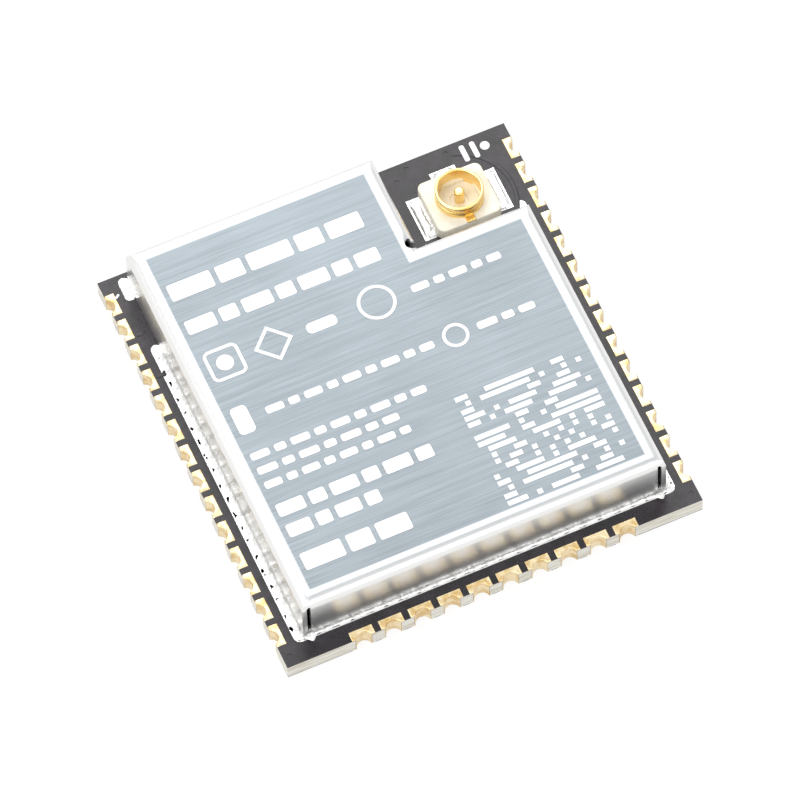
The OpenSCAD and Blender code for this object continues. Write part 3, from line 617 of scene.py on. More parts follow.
@dataclass
class Surface:
    """Faces of one piece, gathered from grids of points."""

    name: str
    points: list[np.ndarray] = field(default_factory=list)
    faces: list[list[int]] = field(default_factory=list)
    marks: list[np.ndarray] = field(default_factory=list)
    count: int = 0

    def grid(self, points: np.ndarray, around: bool = False, closed: bool = False,
             keep: np.ndarray | None = None, mark: np.ndarray | float = 0.0) -> np.ndarray:
        """Adds a grid of points and the quads between them.

        Going along a row and then down a column turns anticlockwise when it is seen from outside.

        Args:
            points: rows, columns and three coordinates.
            around: whether the last column joins the first.
            closed: whether the last row joins the first.
            keep: which quads stay.
            mark: attribute value of each point.

        Returns:
            Index of each point.
        """
        rows, columns = points.shape[:2]
        index = self.count + np.arange(rows * columns).reshape(rows, columns)
        ring = np.c_[index, index[:, :1]] if around else index
        ring = np.r_[ring, ring[:1]] if closed else ring
        quads = np.stack([ring[:-1, :-1], ring[:-1, 1:], ring[1:, 1:], ring[1:, :-1]], axis=-1)
        chosen = quads if keep is None else quads[keep]
        self.faces += chosen.reshape(-1, 4).tolist()
        self.points.append(points.reshape(-1, 3))
        self.marks.append(np.broadcast_to(mark, (rows, columns)).ravel())
        self.count += rows * columns
        return index

    def cap(self, loop: np.ndarray) -> None:
        """Closes a loop of points with one face, anticlockwise from outside."""
        self.faces.append([int(i) for i in loop])

    def slab(self, outline: np.ndarray, low: float, high: float, edge: float, steps: int = 3) -> None:
        """Adds a flat plate with rounded edges.

        Its outline rises from low to high, and at both it is drawn in along a quarter circle.

        Args:
            outline: closed anticlockwise outline.
            low: height of its underside.
            high: height of its top.
            edge: radius of its edges.
            steps: rows in each rounded edge.
        """
        a = np.linspace(0, TURN / 4, steps + 1)
        drawn = edge * np.r_[1 - np.sin(a), 1 - np.sin(a[::-1])]
        heights = np.r_[low + edge * (1 - np.cos(a)), high - edge * (1 - np.cos(a[::-1]))]
        rows = np.stack([at_height(inset(outline, d), z) for d, z in zip(drawn, heights)])
        index = self.grid(rows[::-1], around=True)
        self.cap(index[0])
        self.cap(index[-1][::-1])

    def lathe(
        self, profile: np.ndarray, centre: np.ndarray, segments: int = 96, closed: bool = False
    ) -> None:
        """Turns a profile about a vertical axis: centre + r (cos a, sin a), at the profile's height.

        Args:
            profile: radius and height of each point; radii of zero make poles.
            centre: the axis in the plane.
            segments: steps around the axis.
            closed: whether the profile is a closed loop.
        """
        a = np.arange(segments) * TURN / segments
        r, z = profile[:, :1], profile[:, 1:]
        height = np.broadcast_to(z, (len(profile), segments))
        turned = np.stack([centre[0] + r * np.cos(a), centre[1] + r * np.sin(a), height], axis=-1)
        self.grid(turned, around=True, closed=closed)

    def piece(self, slot: str, replaces: Sequence[str] = (), attribute: str = "",
              sheet: float = 0.0, bevel: float = 0.0) -> bpy.types.Object:
        """Makes the object, dresses it and puts it on the frame.

        Doubled points are merged and loose ones dropped. A sheet thickens inwards from its outer face.

        Args:
            slot: material slot, which is also the name of its finish.
            replaces: CAD nodes that it stands for.
            attribute: name under which the grid's marks are kept.
            sheet: thickness to give an open surface, or 0 for a closed one.
            bevel: width of a small bevel on sharp edges, or 0.

        Returns:
            The object.
        """
        mesh = bpy.data.meshes.new(self.name)
        mesh.from_pydata((np.concatenate(self.points) * MM).tolist(), [], self.faces)
        if attribute:
            layer = mesh.attributes.new(attribute, "FLOAT", "POINT")
            layer.data.foreach_set("value", np.concatenate(self.marks).astype(np.float32))
        self._tidy(mesh, closed=not sheet)
        mesh.polygons.foreach_set("use_smooth", [True] * len(mesh.polygons))
        obj = bpy.data.objects.new(self.name, mesh)
        bpy.context.scene.collection.objects.link(obj)
        if sheet:
            solid = obj.modifiers.new("thickness", "SOLIDIFY")
            solid.thickness = sheet * MM
            solid.offset = -1
        if bevel:
            rounding = obj.modifiers.new("edges", "BEVEL")
            rounding.width = bevel * MM
            rounding.segments = 2
            rounding.limit_method = "ANGLE"
            rounding.angle_limit = math.radians(50)
        mesh.materials.append(material_of(Finishes[slot].value))
        mesh.set_sharp_from_angle(angle=math.radians(40))
        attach(obj, "root")
        if replaces:
            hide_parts(*replaces)
        log.info("%s: %d faces, finish %s", self.name, len(mesh.polygons), slot)
        return obj

    @staticmethod
    def _tidy(mesh: bpy.types.Mesh, closed: bool) -> None:
        """Merges doubled points, drops loose ones and turns a closed shell's faces outwards.

        Args:
            mesh: the mesh to change.
            closed: whether it is a closed shell.
        """
        work = bmesh.new()
        work.from_mesh(mesh)
        bmesh.ops.delete(work, geom=[v for v in work.verts if not v.link_faces], context="VERTS")
        bmesh.ops.remove_doubles(work, verts=work.verts, dist=2e-7)
        bmesh.ops.dissolve_degenerate(work, edges=work.edges, dist=1e-8)
        if closed:
            bmesh.ops.recalc_face_normals(work, faces=work.faces)
        work.to_mesh(mesh)
        work.free()


def dress(node: str, slot: str) -> None:
    """Gives a CAD node the finish of a slot.

    Args:
        node: name of the node.
        slot: material slot, which is also the name of its finish.
    """
    mesh = frame["nodes"][node].data
    mesh.materials.clear()
    mesh.materials.append(material_of(Finishes[slot].value))
    log.info("%s: CAD node, finish %s", node, slot)


# ---- Board ----


@dataclass
class Board:
    """Laminate, masks, vias, lands, silkscreen and the parts under the shield, as in the CAD model."""

    left_out: tuple[str, ...] = (
        "left_edge_contacts", "right_edge_contacts", "front_edge_contacts", "shield_can", "shield_solder",
        "oval_ground_pad", "socket_housing", "socket_shell", "socket_pin", "socket_solder",
    )
    trace_w: float = 0.2
    trace_h: float = 0.012

    def dress_nodes(self) -> None:
        """Gives every CAD node that stays the finish of its material slot."""
        for part in frame["record"]["subparts"]:
            if part["node"] not in self.left_out:
                dress(part["node"], part["material_slot"])

    def build(self) -> None:
        """Dresses the nodes and adds the traces that show through the mask."""
        self.dress_nodes()
        top = extent("top_solder_mask")[1][2]
        traces = Surface("trace_relief")
        for seed, path in enumerate(self.trace_paths()):
            self._trace(traces, path, top, seed)
        traces.piece("solder_mask")

    def trace_paths(self) -> list[np.ndarray]:
        """Middle lines of the traces that show as ridges in the mask.

        Returns:
            Points of each path: straight ties to edge contacts, and an arc round the socket's right side.
        """
        low, high = extent("board_laminate")
        socket = mount_point("antenna_port")[:2]
        a = np.linspace(-0.2, 0.22, 24) * TURN
        arc = socket + 2.35 * np.c_[np.cos(a), np.sin(a)]
        feed = np.c_[np.full(12, socket[0] - 1.2), np.linspace(high[1] - 1.9, high[1] - 1.1, 12)]
        left = [np.c_[np.linspace(low[0] + 0.45, low[0] + 0.95, 8), np.full(8, y)] for y in (4.6, 6.7)]
        return [arc, feed, *left]

    def _trace(self, surface: Surface, path: np.ndarray, top: float, seed: int) -> None:
        """Adds one ridge: a low dome across the trace, carried along its path and tapered at both ends.

        Args:
            surface: surface to add to.
            path: middle line.
            top: height of the mask.
            seed: unevenness of its edges.
        """
        along = np.gradient(path, axis=0)
        along /= np.linalg.norm(along, axis=1, keepdims=True)
        side = np.c_[-along[:, 1], along[:, 0]]
        u = np.linspace(0, 1, len(path))
        taper = np.sqrt(np.clip(1 - (2 * u - 1) ** 8, 0, 1))
        half = self.trace_w / 2 * taper * (1 + 0.05 * waver(u * 4, seed))
        v = np.r_[np.linspace(-1, 1, 9), np.linspace(1, -1, 3)[1:-1]]
        dome = np.r_[1 - np.linspace(-1, 1, 9) ** 4, np.full(1, -0.5)]
        flat = path[None] + v[:, None, None] * half[None, :, None] * side[None]
        z = top + self.trace_h * dome[:, None] * taper[None]
        surface.grid(np.concatenate([flat, z[..., None]], axis=-1), closed=True)


@dataclass
class EdgeContacts:
    """Plated half holes: a land on each face that rolls over the hole's edge into the barrel."""

    nodes: tuple[str, ...] = ("left_edge_contacts", "right_edge_contacts", "front_edge_contacts")
    counts: tuple[int, ...] = (14, 14, 10)
    turns: tuple[int, ...] = (0, 2, 1)
    land_w: float = 1.0
    hole_r: float = 0.33
    hole_out: float = 0.08
    roll_r: float = 0.03
    top_depth: float = 0.4
    bottom_depth: float = 0.85
    proud: float = 0.012
    foil_t: float = 0.03
    corner_at: float = 0.42
    back_in: float = 0.004

    def build(self) -> None:
        """Builds each row of contacts as one piece in place of its CAD node."""
        for node, count, turn in zip(self.nodes, self.counts, self.turns):
            low, high = extent(node)
            surface = Surface(f"{node}_plated")
            for i, middle in enumerate(self._middles(low, high, turn, count)):
                surface.grid(self._place(self._contact(high[2], low[2], 31 * turn + i), middle, turn))
            surface.piece("gold_plating", [node], sheet=self.foil_t)

    def _middles(self, low: np.ndarray, high: np.ndarray, turn: int, count: int) -> np.ndarray:
        """Middles of a row's contacts on the board's edge, spread evenly between its end lands.

        Args:
            low: lowest corner of the row.
            high: highest corner of the row.
            turn: quarter turns of the row.
            count: contacts in the row.

        Returns:
            Points in the plane.
        """
        run = 0 if turn == 1 else 1
        along = np.linspace(low[run] + self.land_w / 2, high[run] - self.land_w / 2, count)
        edge = np.full(count, high[0] if turn == 2 else low[1 - run])
        return np.c_[along, edge] if turn == 1 else np.c_[edge, along]

    def _contact(self, top: float, bottom: float, seed: int) -> np.ndarray:
        """Sheet of one contact, with +X pointing into the board.

        Rows run over the top land, round the hole's edge, down the barrel and out over the lower land.
        A land is ruled between the hole's arc and the rectangle that bounds it.

        Args:
            top: height of the board's top.
            bottom: height of the board's underside.
            seed: unevenness of this contact.

        Returns:
            Grid of points.
        """
        side = np.linspace(self.corner_at, 1, 6)
        middle = np.linspace(-self.corner_at, self.corner_at, 13)[1:-1]
        a = np.r_[-side[::-1], middle, side]
        q = np.linspace(0, TURN / 4, 4)
        shares = np.array([1.0, 0.97, 0.9, 0.6, 0.3, 0.0])
        lift = np.array([-2.0, 0.4, 1.0, 1.0, 1.0, 1.0]) * self.proud
        worn = 0.012 * waver(a * 3, seed)
        start = self._arc(a, self.hole_r + self.roll_r)
        rows = [np.c_[start + s * (self._bound(a, self.top_depth) - start), top + h + worn * (1 - s) * 0.3]
                for s, h in zip(shares, lift)]
        high = top + self.proud
        for turn in q[1:]:
            r = self.hole_r + self.roll_r * (1 - math.sin(turn))
            z = np.full(len(a), high - self.roll_r * (1 - math.cos(turn)))
            rows.append(np.c_[self._arc(a, r + worn * 0.4), z])
        for share in (0.3, 0.6):
            z = high - self.roll_r - share * (high - bottom - 2 * self.roll_r)
            rows.append(np.c_[self._arc(a, self.hole_r), np.full(len(a), z)])
        for turn in q[::-1]:
            r = self.hole_r + self.roll_r * (1 - math.sin(turn))
            z = np.full(len(a), bottom + self.roll_r * (1 - math.cos(turn)))
            rows.append(np.c_[self._arc(a, r), z])
        for s in (0.5, 1.0):
            flat = start + s * (self._bound(a, self.bottom_depth) - start)
            rows.append(np.c_[flat, np.full(len(a), bottom)])
        return np.stack(rows)

    def _arc(self, a: np.ndarray, r: np.ndarray | float) -> np.ndarray:
        """Arc inside the board: -hole_out + r cos f, r sin f, where f ends on the board's edge."""
        f = a * np.arccos(self.hole_out / r)
        return np.c_[-self.hole_out + r * np.cos(f), r * np.sin(f)]

    def _bound(self, a: np.ndarray, depth: float) -> np.ndarray:
        """Rectangle that bounds a land, run from its first corner on the edge round to its last."""
        x = depth * np.clip((1 - np.abs(a)) / (1 - self.corner_at), 0, 1)
        y = self.land_w / 2 * np.clip(a / self.corner_at, -1, 1)
        return np.c_[x, y]

    def _place(self, points: np.ndarray, centre: np.ndarray, turn: int) -> np.ndarray:
        """Turns a contact by quarter turns and moves it to its middle, just inside the board's edge."""
        a = turn * TURN / 4
        x, y = points[..., 0] + self.back_in, points[..., 1]
        cos, sin = math.cos(a), math.sin(a)
        turned = np.stack([x * cos - y * sin, x * sin + y * cos, points[..., 2]], axis=-1)
        return turned + np.r_[centre, 0]


@dataclass
class ShieldCan:
    """Folded sheet: a lid whose rim bends down into walls along an L-shaped outline, with open seams."""

    node: str = "shield_can"
    notch: tuple[float, float] = (2.96, 4.55)
    sheet_t: float = 0.2
    bend_r: float = 0.4
    rim_w: float = 1.2
    seam_near: float = 0.2
    seam_w: float = 0.16
    seam_top: float = 2.94
    relief_at: float = 0.2
    relief_r: float = 0.25
    relief_flare: float = 0.25
    relief_columns: int = 6
    edge_round: float = 0.025
    column_w: float = 0.45
    lid_rows: int = 5
    relief_rows: int = 7
    bend_rows: int = 8
    wall_shares: tuple[float, ...] = (0.06, 0.13, 0.2, 0.45, 0.7, 0.97, 1.0)

    def __post_init__(self) -> None:
        """Reads the can's box and lays out its corners, anticlockwise, and the mitre at each."""
        low, high = extent(self.node)
        x, y = self.notch
        self.foot, self.top = low[2], high[2]
        self.corners = np.array(
            [low[:2], [high[0], low[1]], [high[0], y], [x, y], [x, high[1]], [low[0], high[1]]]
        )
        along = np.sign(np.roll(self.corners, -1, axis=0) - self.corners)
        inward = np.c_[-along[:, 1], along[:, 0]]
        self.mitres = inward + np.roll(inward, 1, axis=0)

    def build(self) -> None:
        """Builds the six sides and closes the lid between them."""
        can = Surface("shield_can_sheet")
        seams = [(True, True), (False, False), (True, False), (False, False), (True, True), (False, False)]
        lid = []
        for side, (first, last) in enumerate(seams):
            index = self._relief_side(can, side) if side == 3 else self._side(can, side, first, last)
            lid += list(index[0])
        can.cap(np.array(lid))
        can.piece("shield_sheet", [self.node], "from_edge", self.sheet_t, self.edge_round)

    def _profile(self, seam_z: np.ndarray) -> tuple[np.ndarray, np.ndarray]:
        """Distance from the outer face and height of each row, for every column.

        The rim is flat, the bend is d = r (1 - sin t), z = top - r (1 - cos t), and the wall is straight.
        One row of the bend is moved to the height at which a seam starts in that column.

        Args:
            seam_z: height of the seam's start in each column.

        Returns:
            Distances and heights, rows by columns.
        """
        columns = len(seam_z)
        relief_in = self.relief_at + self.relief_r - self.bend_r
        quarter = np.linspace(0, TURN / 4, self.relief_rows)
        lid = np.linspace(self.rim_w, self.bend_r + 0.06, self.lid_rows)
        flat = np.r_[lid, self.bend_r + relief_in * np.cos(quarter)]
        seam_t = np.arccos(1 - (self.top - seam_z) / self.bend_r)
        share = np.linspace(0, 1, self.bend_rows + 1)[1:, None]
        t = np.r_[share * seam_t, seam_t + share[1::2] * (TURN / 4 - seam_t)]
        d = np.r_[np.repeat(flat[:, None], columns, 1), self.bend_r * (1 - np.sin(t))]
        z = np.r_[np.full((len(flat), columns), self.top), self.top - self.bend_r * (1 - np.cos(t))]
        fall = np.array(self.wall_shares)[:, None] * (self.top - self.bend_r - self.foot)
        d = np.r_[d, np.zeros((len(fall), columns))]
        z = np.r_[z, np.repeat(self.top - self.bend_r - fall, columns, 1)]
        return d, z

    @property
    def _seam_row(self) -> int:
        """Row of the profile on which the seams start."""
        return self.lid_rows + self.relief_rows + self.bend_rows - 1

    @staticmethod
    def _across(start: Mitre, end: Mitre, share: np.ndarray, d: np.ndarray, z: np.ndarray) -> np.ndarray:
        """Points between two mitred corners that move inwards with d, with share running between them."""
        a = start[0] + start[1] * d[..., None]
        b = end[0] + end[1] * d[..., None]
        flat = a + (b - a) * share[..., None]
        return np.concatenate([flat, z[..., None]], axis=-1)

    def _side(self, can: Surface, side: int, seam_first: bool, seam_last: bool) -> np.ndarray:
        """Adds one side.

        Args:
            can: surface to add to.
            side: index of the side's first corner.
            seam_first: whether a seam stands beside the first corner.
            seam_last: whether a seam stands beside the last corner.

        Returns:
            Index of each point.
        """
        ends = [(self.corners[i % 6], self.mitres[i % 6]) for i in (side, side + 1)]
        length = np.abs(ends[1][0] - ends[0][0]).sum()
        arch = -np.cos(np.linspace(0, TURN / 2, 13)) * self.seam_w / 2
        seam_at = self.seam_near + self.seam_w / 2
        lift = np.sqrt(np.clip((self.seam_w / 2) ** 2 - arch ** 2, 0, None))
        low = self.seam_top - self.seam_w / 2
        seams = np.array([seam_at] * seam_first + [length - seam_at] * seam_last)
        inner = self.seam_near + self.seam_w + 0.1
        between = np.linspace(inner, length - inner, int((length - 2 * inner) / self.column_w))
        plain = np.r_[0, between, length]
        s = np.r_[plain, (seams[:, None] + arch).ravel()]
        seam_z = np.r_[np.full(len(plain), low), np.tile(low + lift, len(seams))]
        order = np.argsort(s)
        s, seam_z = s[order], seam_z[order]
        d, z = self._profile(seam_z)
        points = self._across(ends[0], ends[1], np.broadcast_to(s / length, d.shape), d, z)
        keep = np.ones((len(d) - 1, len(s) - 1), bool)
        middle = (s[1:] + s[:-1]) / 2
        in_seam = (np.abs(middle[:, None] - seams) < self.seam_w / 2).any(axis=1)
        keep[self._seam_row:, in_seam] = False
        return can.grid(points[:, ::-1], keep=keep[:, ::-1], mark=d[:, ::-1])[:, ::-1]

    def _relief_side(self, can: Surface, side: int) -> np.ndarray:
        """Adds the side that starts at the inner corner, cut by the relief hole.

        In each row the hole spans c - h to c + h, with h = sqrt(r^2 - (d - at)^2).
        Down the wall it opens to its full radius.

        Args:
            can: surface to add to.
            side: index of the side's first corner.

        Returns:
            Index of each point.
        """
        (x, low_y), (_, high_y) = self.corners[side], self.corners[side + 1]
        rest = np.linspace(0, 1, int((high_y - low_y) / self.column_w))
        share = np.linspace(0, 1, self.relief_columns)
        d, z = self._profile(np.full(len(rest) + len(share), self.seam_top - self.seam_w / 2))
        row_d, row_z = d[:, :1], z[:, :1]
        half = np.sqrt(np.clip(self.relief_r ** 2 - (row_d - self.relief_at) ** 2, 0, None))
        wall = row_d <= 0
        flared = half + self.relief_flare * (self.top - self.bend_r - row_z)
        half = np.where(wall, np.minimum(self.relief_r, flared), half)
        centre = low_y + self.relief_at
        before = low_y - row_d + share * (centre - half - low_y + row_d)
        after = centre + half + rest * (high_y - row_d - centre - half)
        y = np.c_[before, after]
        points = np.stack([x - d, y, z], axis=-1)
        keep = np.ones((len(d) - 1, y.shape[1] - 1), bool)
        cut = self.relief_columns - 1
        keep[:, cut] = False
        keep[wall[1:, 0], :cut] = False
        return can.grid(points[:, ::-1], keep=keep[:, ::-1], mark=d[:, ::-1])[:, ::-1]


@dataclass
class ShieldSolder:
    """Solder along the can's foot: a hollow fillet that swells and thins, with heaps in the front seams."""

    node: str = "shield_solder"
    can: str = "shield_can"
    side_w: float = 0.34
    front_w: float = 0.13
    height: float = 0.2
    left_end: float = 5.55
    right_end: float = 4.5
    seam_in: float = 0.28
    heap_w: float = 0.2
    heap_h: float = 0.2
    sunk: float = 0.2
    step: float = 0.09

    def build(self) -> None:
        """Carries the fillet from the left end round the front to the right end."""
        low, high = extent(self.can)
        corners = np.array([[low[0], self.left_end], low[:2], [high[0], low[1]], [high[0], self.right_end]])
        base, out, width = self._path(corners)
        u = np.cumsum(np.r_[0, np.linalg.norm(np.diff(base + 0.2 * out, axis=0), axis=1)])
        taper = np.sqrt(np.clip(np.minimum(u, u[-1] - u) / 0.3, 0, 1))
        front = np.abs(out[:, 1]) > 0.99
        mound = front * np.exp(-(((high[0] - self.seam_in - np.abs(base[:, 0])) / 0.13) ** 2))
        w = (width * (1 + 0.13 * waver(u, 5)) + self.heap_w * mound) * taper
        h = (self.height * (1 + 0.2 * waver(u, 6)) + self.heap_h * mound) * taper
        a = np.linspace(0, TURN / 4, 9)
        reach = np.r_[-self.sunk, -self.sunk, 1 - np.cos(a)]
        rise = np.r_[0, 1, 1 - np.sin(a)]
        offset = np.where(reach[:, None] < 0, reach[:, None] * taper, reach[:, None] * w)
        swell = 0.12 * np.sin(2 * a)[:, None] * waver(u * 2, 7) * h
        z = rise[:, None] * h + np.r_[np.zeros((2, len(u))), swell]
        flat = base[None] + offset[..., None] * out[None]
        solder = Surface("shield_solder_fillet")
        solder.grid(np.concatenate([flat, low[2] + z[..., None]], axis=-1), closed=True)
        solder.piece("tinned_metal", [self.node])

    def _path(self, corners: np.ndarray) -> tuple[np.ndarray, np.ndarray, np.ndarray]:
        """Base points on the can's face, with the way out and the width at each.

        At a corner the way out turns while the base point stays.

        Args:
            corners: ends and corners of the path.

        Returns:
            Base points, outward directions and widths.
        """
        bases, outs, widths = [], [], []
        sides = [self.side_w, self.front_w, self.side_w]
        angles = [TURN / 2, 3 * TURN / 4, TURN]
        for i, (w, angle) in enumerate(zip(sides, angles)):
            count = int(np.linalg.norm(corners[i + 1] - corners[i]) / self.step)
            bases.append(np.linspace(corners[i], corners[i + 1], count))
            outs.append(np.full(count, angle))
            widths.append(np.full(count, w))
            if i < 2:
                share = np.linspace(0, 1, 9)[1:-1]
                bases.append(np.repeat(corners[i + 1][None], 7, 0))
                outs.append(angle + share * TURN / 4)
                widths.append(w + share * (sides[i + 1] - w))
        turned = np.concatenate(outs)
        return np.concatenate(bases), np.c_[np.cos(turned), np.sin(turned)], np.concatenate(widths)


def heap(surface: Surface, outline: np.ndarray, centre: np.ndarray, low: float, height: float,
         seed: int, wells: Sequence[np.ndarray] = (), well_r: float = 0.0) -> None:
    """Adds a low mound of solder over an outline.

    Rings are the outline shrunk by v, and the height is h (1 - v^4), uneven, and dropped inside a well.

    Args:
        surface: surface to add to.
        outline: outline about its own middle.
        centre: place of the middle.
        low: height of the mound's foot.
        height: height of the mound.
        seed: unevenness.
        wells: middles of open vias.
        well_r: radius of the wells.
    """
    v = 1 - np.linspace(1, 0, 30) ** 1.4
    flat = centre + v[::-1, None, None] * outline[None]
    uneven = 1 + 0.12 * waver(flat[..., 0] + 0.7 * flat[..., 1], seed)
    z = low + height * (1 - v[::-1, None] ** 4) * uneven
    for well in wells:
        away = np.linalg.norm(flat - well, axis=-1)
        z = z - WELL_DEPTH * np.clip((well_r - away) / WELL_RIM, 0, 1)
    index = surface.grid(np.concatenate([flat, z[..., None]], axis=-1)[::-1], around=True)
    surface.cap(index[-1][::-1])


@dataclass
class OvalPad:
    """Tinned ground pad with two open vias."""

    node: str = "oval_ground_pad"
    height: float = 0.035
    via_in: float = 0.17
    via_r: float = 0.085

    def build(self) -> None:
        """Builds the mound and its wells in place of the CAD node."""
        low, high = extent(self.node)
        centre, size = (low + high)[:2] / 2, (high - low)[:2]
        wells = [centre + np.array([0, sign * (size[1] / 2 - self.via_in)]) for sign in (-1, 1)]
        pad = Surface("oval_pad_solder")
        outline = bar_outline(size[0], size[1], 160)
        heap(pad, outline, centre, high[2] - 0.002, self.height, 3, wells, self.via_r)
        pad.piece("tinned_metal", [self.node])


@dataclass
class AntennaSocket:
    """Coaxial socket: moulding, plated ring with a latch groove, tabs, tongue, centre pin and solder."""

    housing: tuple[float, float] = (2.8, 2.5)
    housing_h: float = 0.6
    floor_h: float = 0.4
    ring_r: float = 1.0
    bore_r: float = 0.86
    groove_r: float = 0.94
    groove_h: tuple[float, float] = (0.89, 0.99)
    pin_r: float = 0.21
    pin_h: float = 1.1
    tab_in: float = 0.86
    tab_out: float = 1.75
    tab_l: float = 1.9
    tail: tuple[float, float] = (0.6, 1.6)
    foil_t: float = 0.1
    corner_r: float = 0.3
    edge_r: float = 0.07

    def __post_init__(self) -> None:
        """Finds the socket's axis, its foot and its mouth."""
        self.axis = mount_point("antenna_port")
        self.foot = extent("socket_housing")[0][2]
        self.mouth = extent("socket_shell")[1][2]

    def build(self) -> None:
        """Builds the pieces in place of the four CAD nodes."""
        self._moulding()
        self._ring()
        self._tabs()
        self._pin()
        self._solder()

    def _moulding(self) -> None:
        """Block with round edges: rows run up the side, over the top, down the bore and to the pin."""
        outline = round_rect(self.housing, self.corner_r, 12)
        unit = outline / np.linalg.norm(outline, axis=1, keepdims=True)
        top = self.foot + self.housing_h
        floor = self.foot + self.floor_h
        a = np.linspace(0, TURN / 4, 5)
        rows = [at_height(outline, self.foot)]
        for t in a:
            drawn = inset(outline, self.edge_r * (1 - math.cos(t)))
            rows.append(at_height(drawn, top - self.edge_r * (1 - math.sin(t))))
        sunk = floor - 0.04
        rings = [
            (1.02, top), (0.93, top), (0.93, floor), (0.86, floor), (0.42, floor), (0.38, sunk), (0.0, sunk)
        ]
        rows += [at_height(r * unit, z) for r, z in rings]
        block = Surface("socket_moulding")
        index = block.grid(np.stack(rows)[::-1] + np.r_[self.axis[:2], 0], around=True)
        block.cap(index[-1][::-1])
        block.piece("ivory_moulding", ["socket_housing"])

    def _ring(self) -> None:
        """Ring turned from a closed profile, grooved outside and round at its mouth, and its tongue."""
        low, mouth = self.foot + 0.2, self.mouth
        g0, g1 = (self.foot + h for h in self.groove_h)
        lip = np.linspace(0, TURN / 2, 9)
        wall = (self.ring_r - self.bore_r) / 2
        middle = (self.ring_r + self.bore_r) / 2
        crown = np.c_[middle + wall * np.cos(lip), mouth - 0.05 + 0.05 * np.sin(lip)]
        outer = np.array([
            [self.bore_r, low], [self.ring_r, low],
            [self.ring_r, g0 - 0.02], [self.ring_r - 0.012, g0],
            [self.groove_r, g0 + 0.015], [self.groove_r, g1 - 0.015],
            [self.ring_r - 0.012, g1], [self.ring_r, g1 + 0.02],
        ])
        ring = Surface("socket_ring")
        ring.lathe(np.r_[outer, crown], self.axis[:2], closed=True)
        top = self.foot + self.housing_h
        tongue = round_rect((0.4, 0.4), 0.06) + self.axis[:2] + np.array([0, -1.07])
        ring.slab(tongue, top - 0.02, top + 0.05, 0.02)
        ring.piece("socket_plating", ["socket_shell"])

    def _tabs(self) -> None:
        """Two ground tabs and the signal tail, flat on their lands."""
        tabs = Surface("socket_tabs")
        width = self.tab_out - self.tab_in
        for sign in (-1, 1):
            middle = self.axis[:2] + np.array([sign * (self.tab_in + width / 2), 0])
            outline = round_rect((width, self.tab_l), 0.08) + middle
            tabs.slab(outline, self.foot, self.foot + self.foil_t, 0.03)
        middle = self.axis[:2] + np.array([0, self.tail[1] / 2])
        tabs.slab(round_rect(self.tail, 0.08) + middle, self.foot, self.foot + self.foil_t, 0.03)
        tabs.piece("tinned_metal")

    def _pin(self) -> None:
        """Centre pin: a turned post with a domed tip."""
        tip = self.foot + self.pin_h
        a = np.linspace(TURN / 4, 0, 7)
        dome = np.c_[self.pin_r - 0.09 + 0.09 * np.cos(a), tip - 0.09 + 0.09 * np.sin(a)]
        foot = self.foot + self.floor_h - 0.1
        profile = np.r_[[[0.0, foot], [self.pin_r, foot]], dome[::-1], [[0.0, tip]]]
        pin = Surface("socket_centre_pin")
        pin.lathe(profile, self.axis[:2], 48)
        pin.piece("socket_plating", ["socket_pin"])

    def _solder(self) -> None:
        """Mounds of solder where the tabs and the tail lie on their lands."""
        solder = Surface("socket_solder_mounds")
        for seed, sign in enumerate((-1, 1)):
            middle = self.axis[:2] + np.array([sign * 1.66, 0])
            heap(solder, round_rect((0.44, 1.9), 0.16, 16), middle, self.foot, 0.14, 11 + seed)
        middle = self.axis[:2] + np.array([0, 1.45])
        heap(solder, round_rect((0.95, 0.62), 0.2, 16), middle, self.foot, 0.17, 17)
        solder.piece("tinned_metal", ["socket_solder"])


# ---- Studio ----


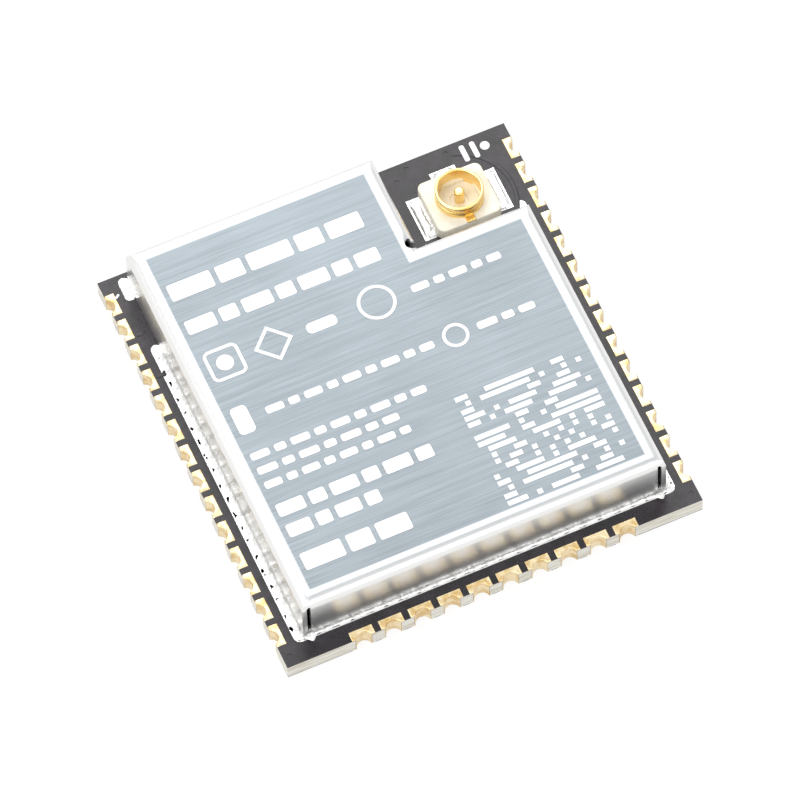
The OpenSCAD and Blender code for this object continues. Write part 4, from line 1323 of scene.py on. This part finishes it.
@dataclass
class Studio:
    """Camera, soft lamps, pale floor and a white surround."""

    azimuth: float = -21.457
    elevation: float = 60.877
    roll: float = -2.86
    distance: float = 336.77
    lens: float = 377.74
    shift: tuple[float, float] = (0.082, 0.015)
    surround: float = 0.62
    floor_glow: float = 0.86

    def build(self) -> None:
        """Sets up everything around the module."""
        self._camera()
        self._floor()
        self._surround()
        for name, place, size, power in (
            ("lamp_left", (-120, -20, 150), 150, 0.62),
            ("lamp_back", (40, 160, 170), 170, 0.55),
            ("lamp_front", (90, -150, 110), 120, 0.22),
        ):
            self._lamp(name, place, size, power)
        bpy.context.scene.view_settings.view_transform = "Standard"
        log.info("studio: camera, floor and three lamps")

    def _camera(self) -> None:
        """Long lens, turned by azimuth, elevation and roll, aimed at the frame's origin."""
        az, el, roll = (math.radians(v) for v in (self.azimuth, self.elevation, self.roll))
        back = Vector((math.sin(az) * math.cos(el), -math.cos(az) * math.cos(el), math.sin(el)))
        level = Vector((math.cos(az), math.sin(az), 0))
        rise = back.cross(level)
        right = math.cos(roll) * level + math.sin(roll) * rise
        up = math.cos(roll) * rise - math.sin(roll) * level
        place = (back * self.distance + right * self.shift[0] + up * self.shift[1]) * MM
        data = bpy.data.cameras.new("camera")
        data.sensor_width = 36
        data.lens = self.lens
        data.clip_start, data.clip_end = 0.01, 20
        camera = bpy.data.objects.new("camera", data)
        turn = Matrix((right, up, back)).transposed().to_4x4()
        camera.matrix_world = Matrix.Translation(place) @ turn
        bpy.context.scene.collection.objects.link(camera)
        bpy.context.scene.camera = camera

    def _floor(self) -> None:
        """Wide pale floor that glows a little, so that it stays white and still takes a faint shadow."""
        mesh = bpy.data.meshes.new("floor")
        reach = 2.0
        low = CAD_BOX[0][2] - 0.00002
        corners = [(-reach, -reach, low), (reach, -reach, low), (reach, reach, low), (-reach, reach, low)]
        mesh.from_pydata(corners, [], [(0, 1, 2, 3)])
        material = bpy.data.materials.new("floor")
        material.use_nodes = True
        graph = Graph(material.node_tree)
        lit = graph.add("ShaderNodeBsdfDiffuse", None, {"Color": (0.95, 0.95, 0.95)})
        glow = graph.add("ShaderNodeEmission", None, {"Color": (1.0, 1.0, 1.0), "Strength": 1.0})
        shares = {0: self.floor_glow, 1: lit.outputs[0], 2: glow.outputs[0]}
        both = graph.add("ShaderNodeMixShader", None, shares)
        graph.add("ShaderNodeOutputMaterial", None, {"Surface": both.outputs[0]})
        mesh.materials.append(material)
        floor = bpy.data.objects.new("floor", mesh)
        bpy.context.scene.collection.objects.link(floor)

    def _surround(self) -> None:
        """White for the camera and in reflections, softer as a light."""
        world = bpy.context.scene.world or bpy.data.worlds.new("surround")
        bpy.context.scene.world = world
        world.use_nodes = True
        graph = Graph(world.node_tree)
        path = graph.add("ShaderNodeLightPath")
        seen = Value(graph, path.outputs["Is Camera Ray"]).peak(Value(graph, path.outputs["Is Glossy Ray"]))
        dimmed = {"Color": (1.0, 1.0, 1.0), "Strength": self.surround}
        soft = graph.add("ShaderNodeBackground", None, dimmed)
        white = graph.add("ShaderNodeBackground", None, {"Color": (1.0, 1.0, 1.0), "Strength": 1.0})
        both = graph.add("ShaderNodeMixShader", None, {0: seen, 1: soft.outputs[0], 2: white.outputs[0]})
        graph.add("ShaderNodeOutputWorld", None, {"Surface": both.outputs[0]})

    def _lamp(self, name: str, place: Colour, size: float, level: float) -> None:
        """Adds a square soft lamp aimed at the module.

        Args:
            name: name of the lamp.
            place: where it hangs.
            size: length of its side.
            level: brightness it lends to a white surface that faces it.
        """
        data = bpy.data.lights.new(name, "AREA")
        data.size = size * MM
        away = Vector(place) * MM
        data.energy = level * TURN / 2 * away.length_squared * math.pi
        lamp = bpy.data.objects.new(name, data)
        lamp.matrix_world = Matrix.Translation(away) @ away.to_track_quat("Z", "Y").to_matrix().to_4x4()
        bpy.context.scene.collection.objects.link(lamp)


def main() -> None:
    """Builds the module's sub-assemblies in order and sets up the studio."""
    logging.basicConfig(level=logging.INFO, format="%(name)s: %(message)s")
    assemblies = (
        Board(), EdgeContacts(), ShieldCan(), ShieldSolder(), OvalPad(), AntennaSocket(), Studio()
    )
    for assembly in assemblies:
        log.info("building %s", type(assembly).__name__)
        assembly.build()


if __name__ == "__main__":
    main()
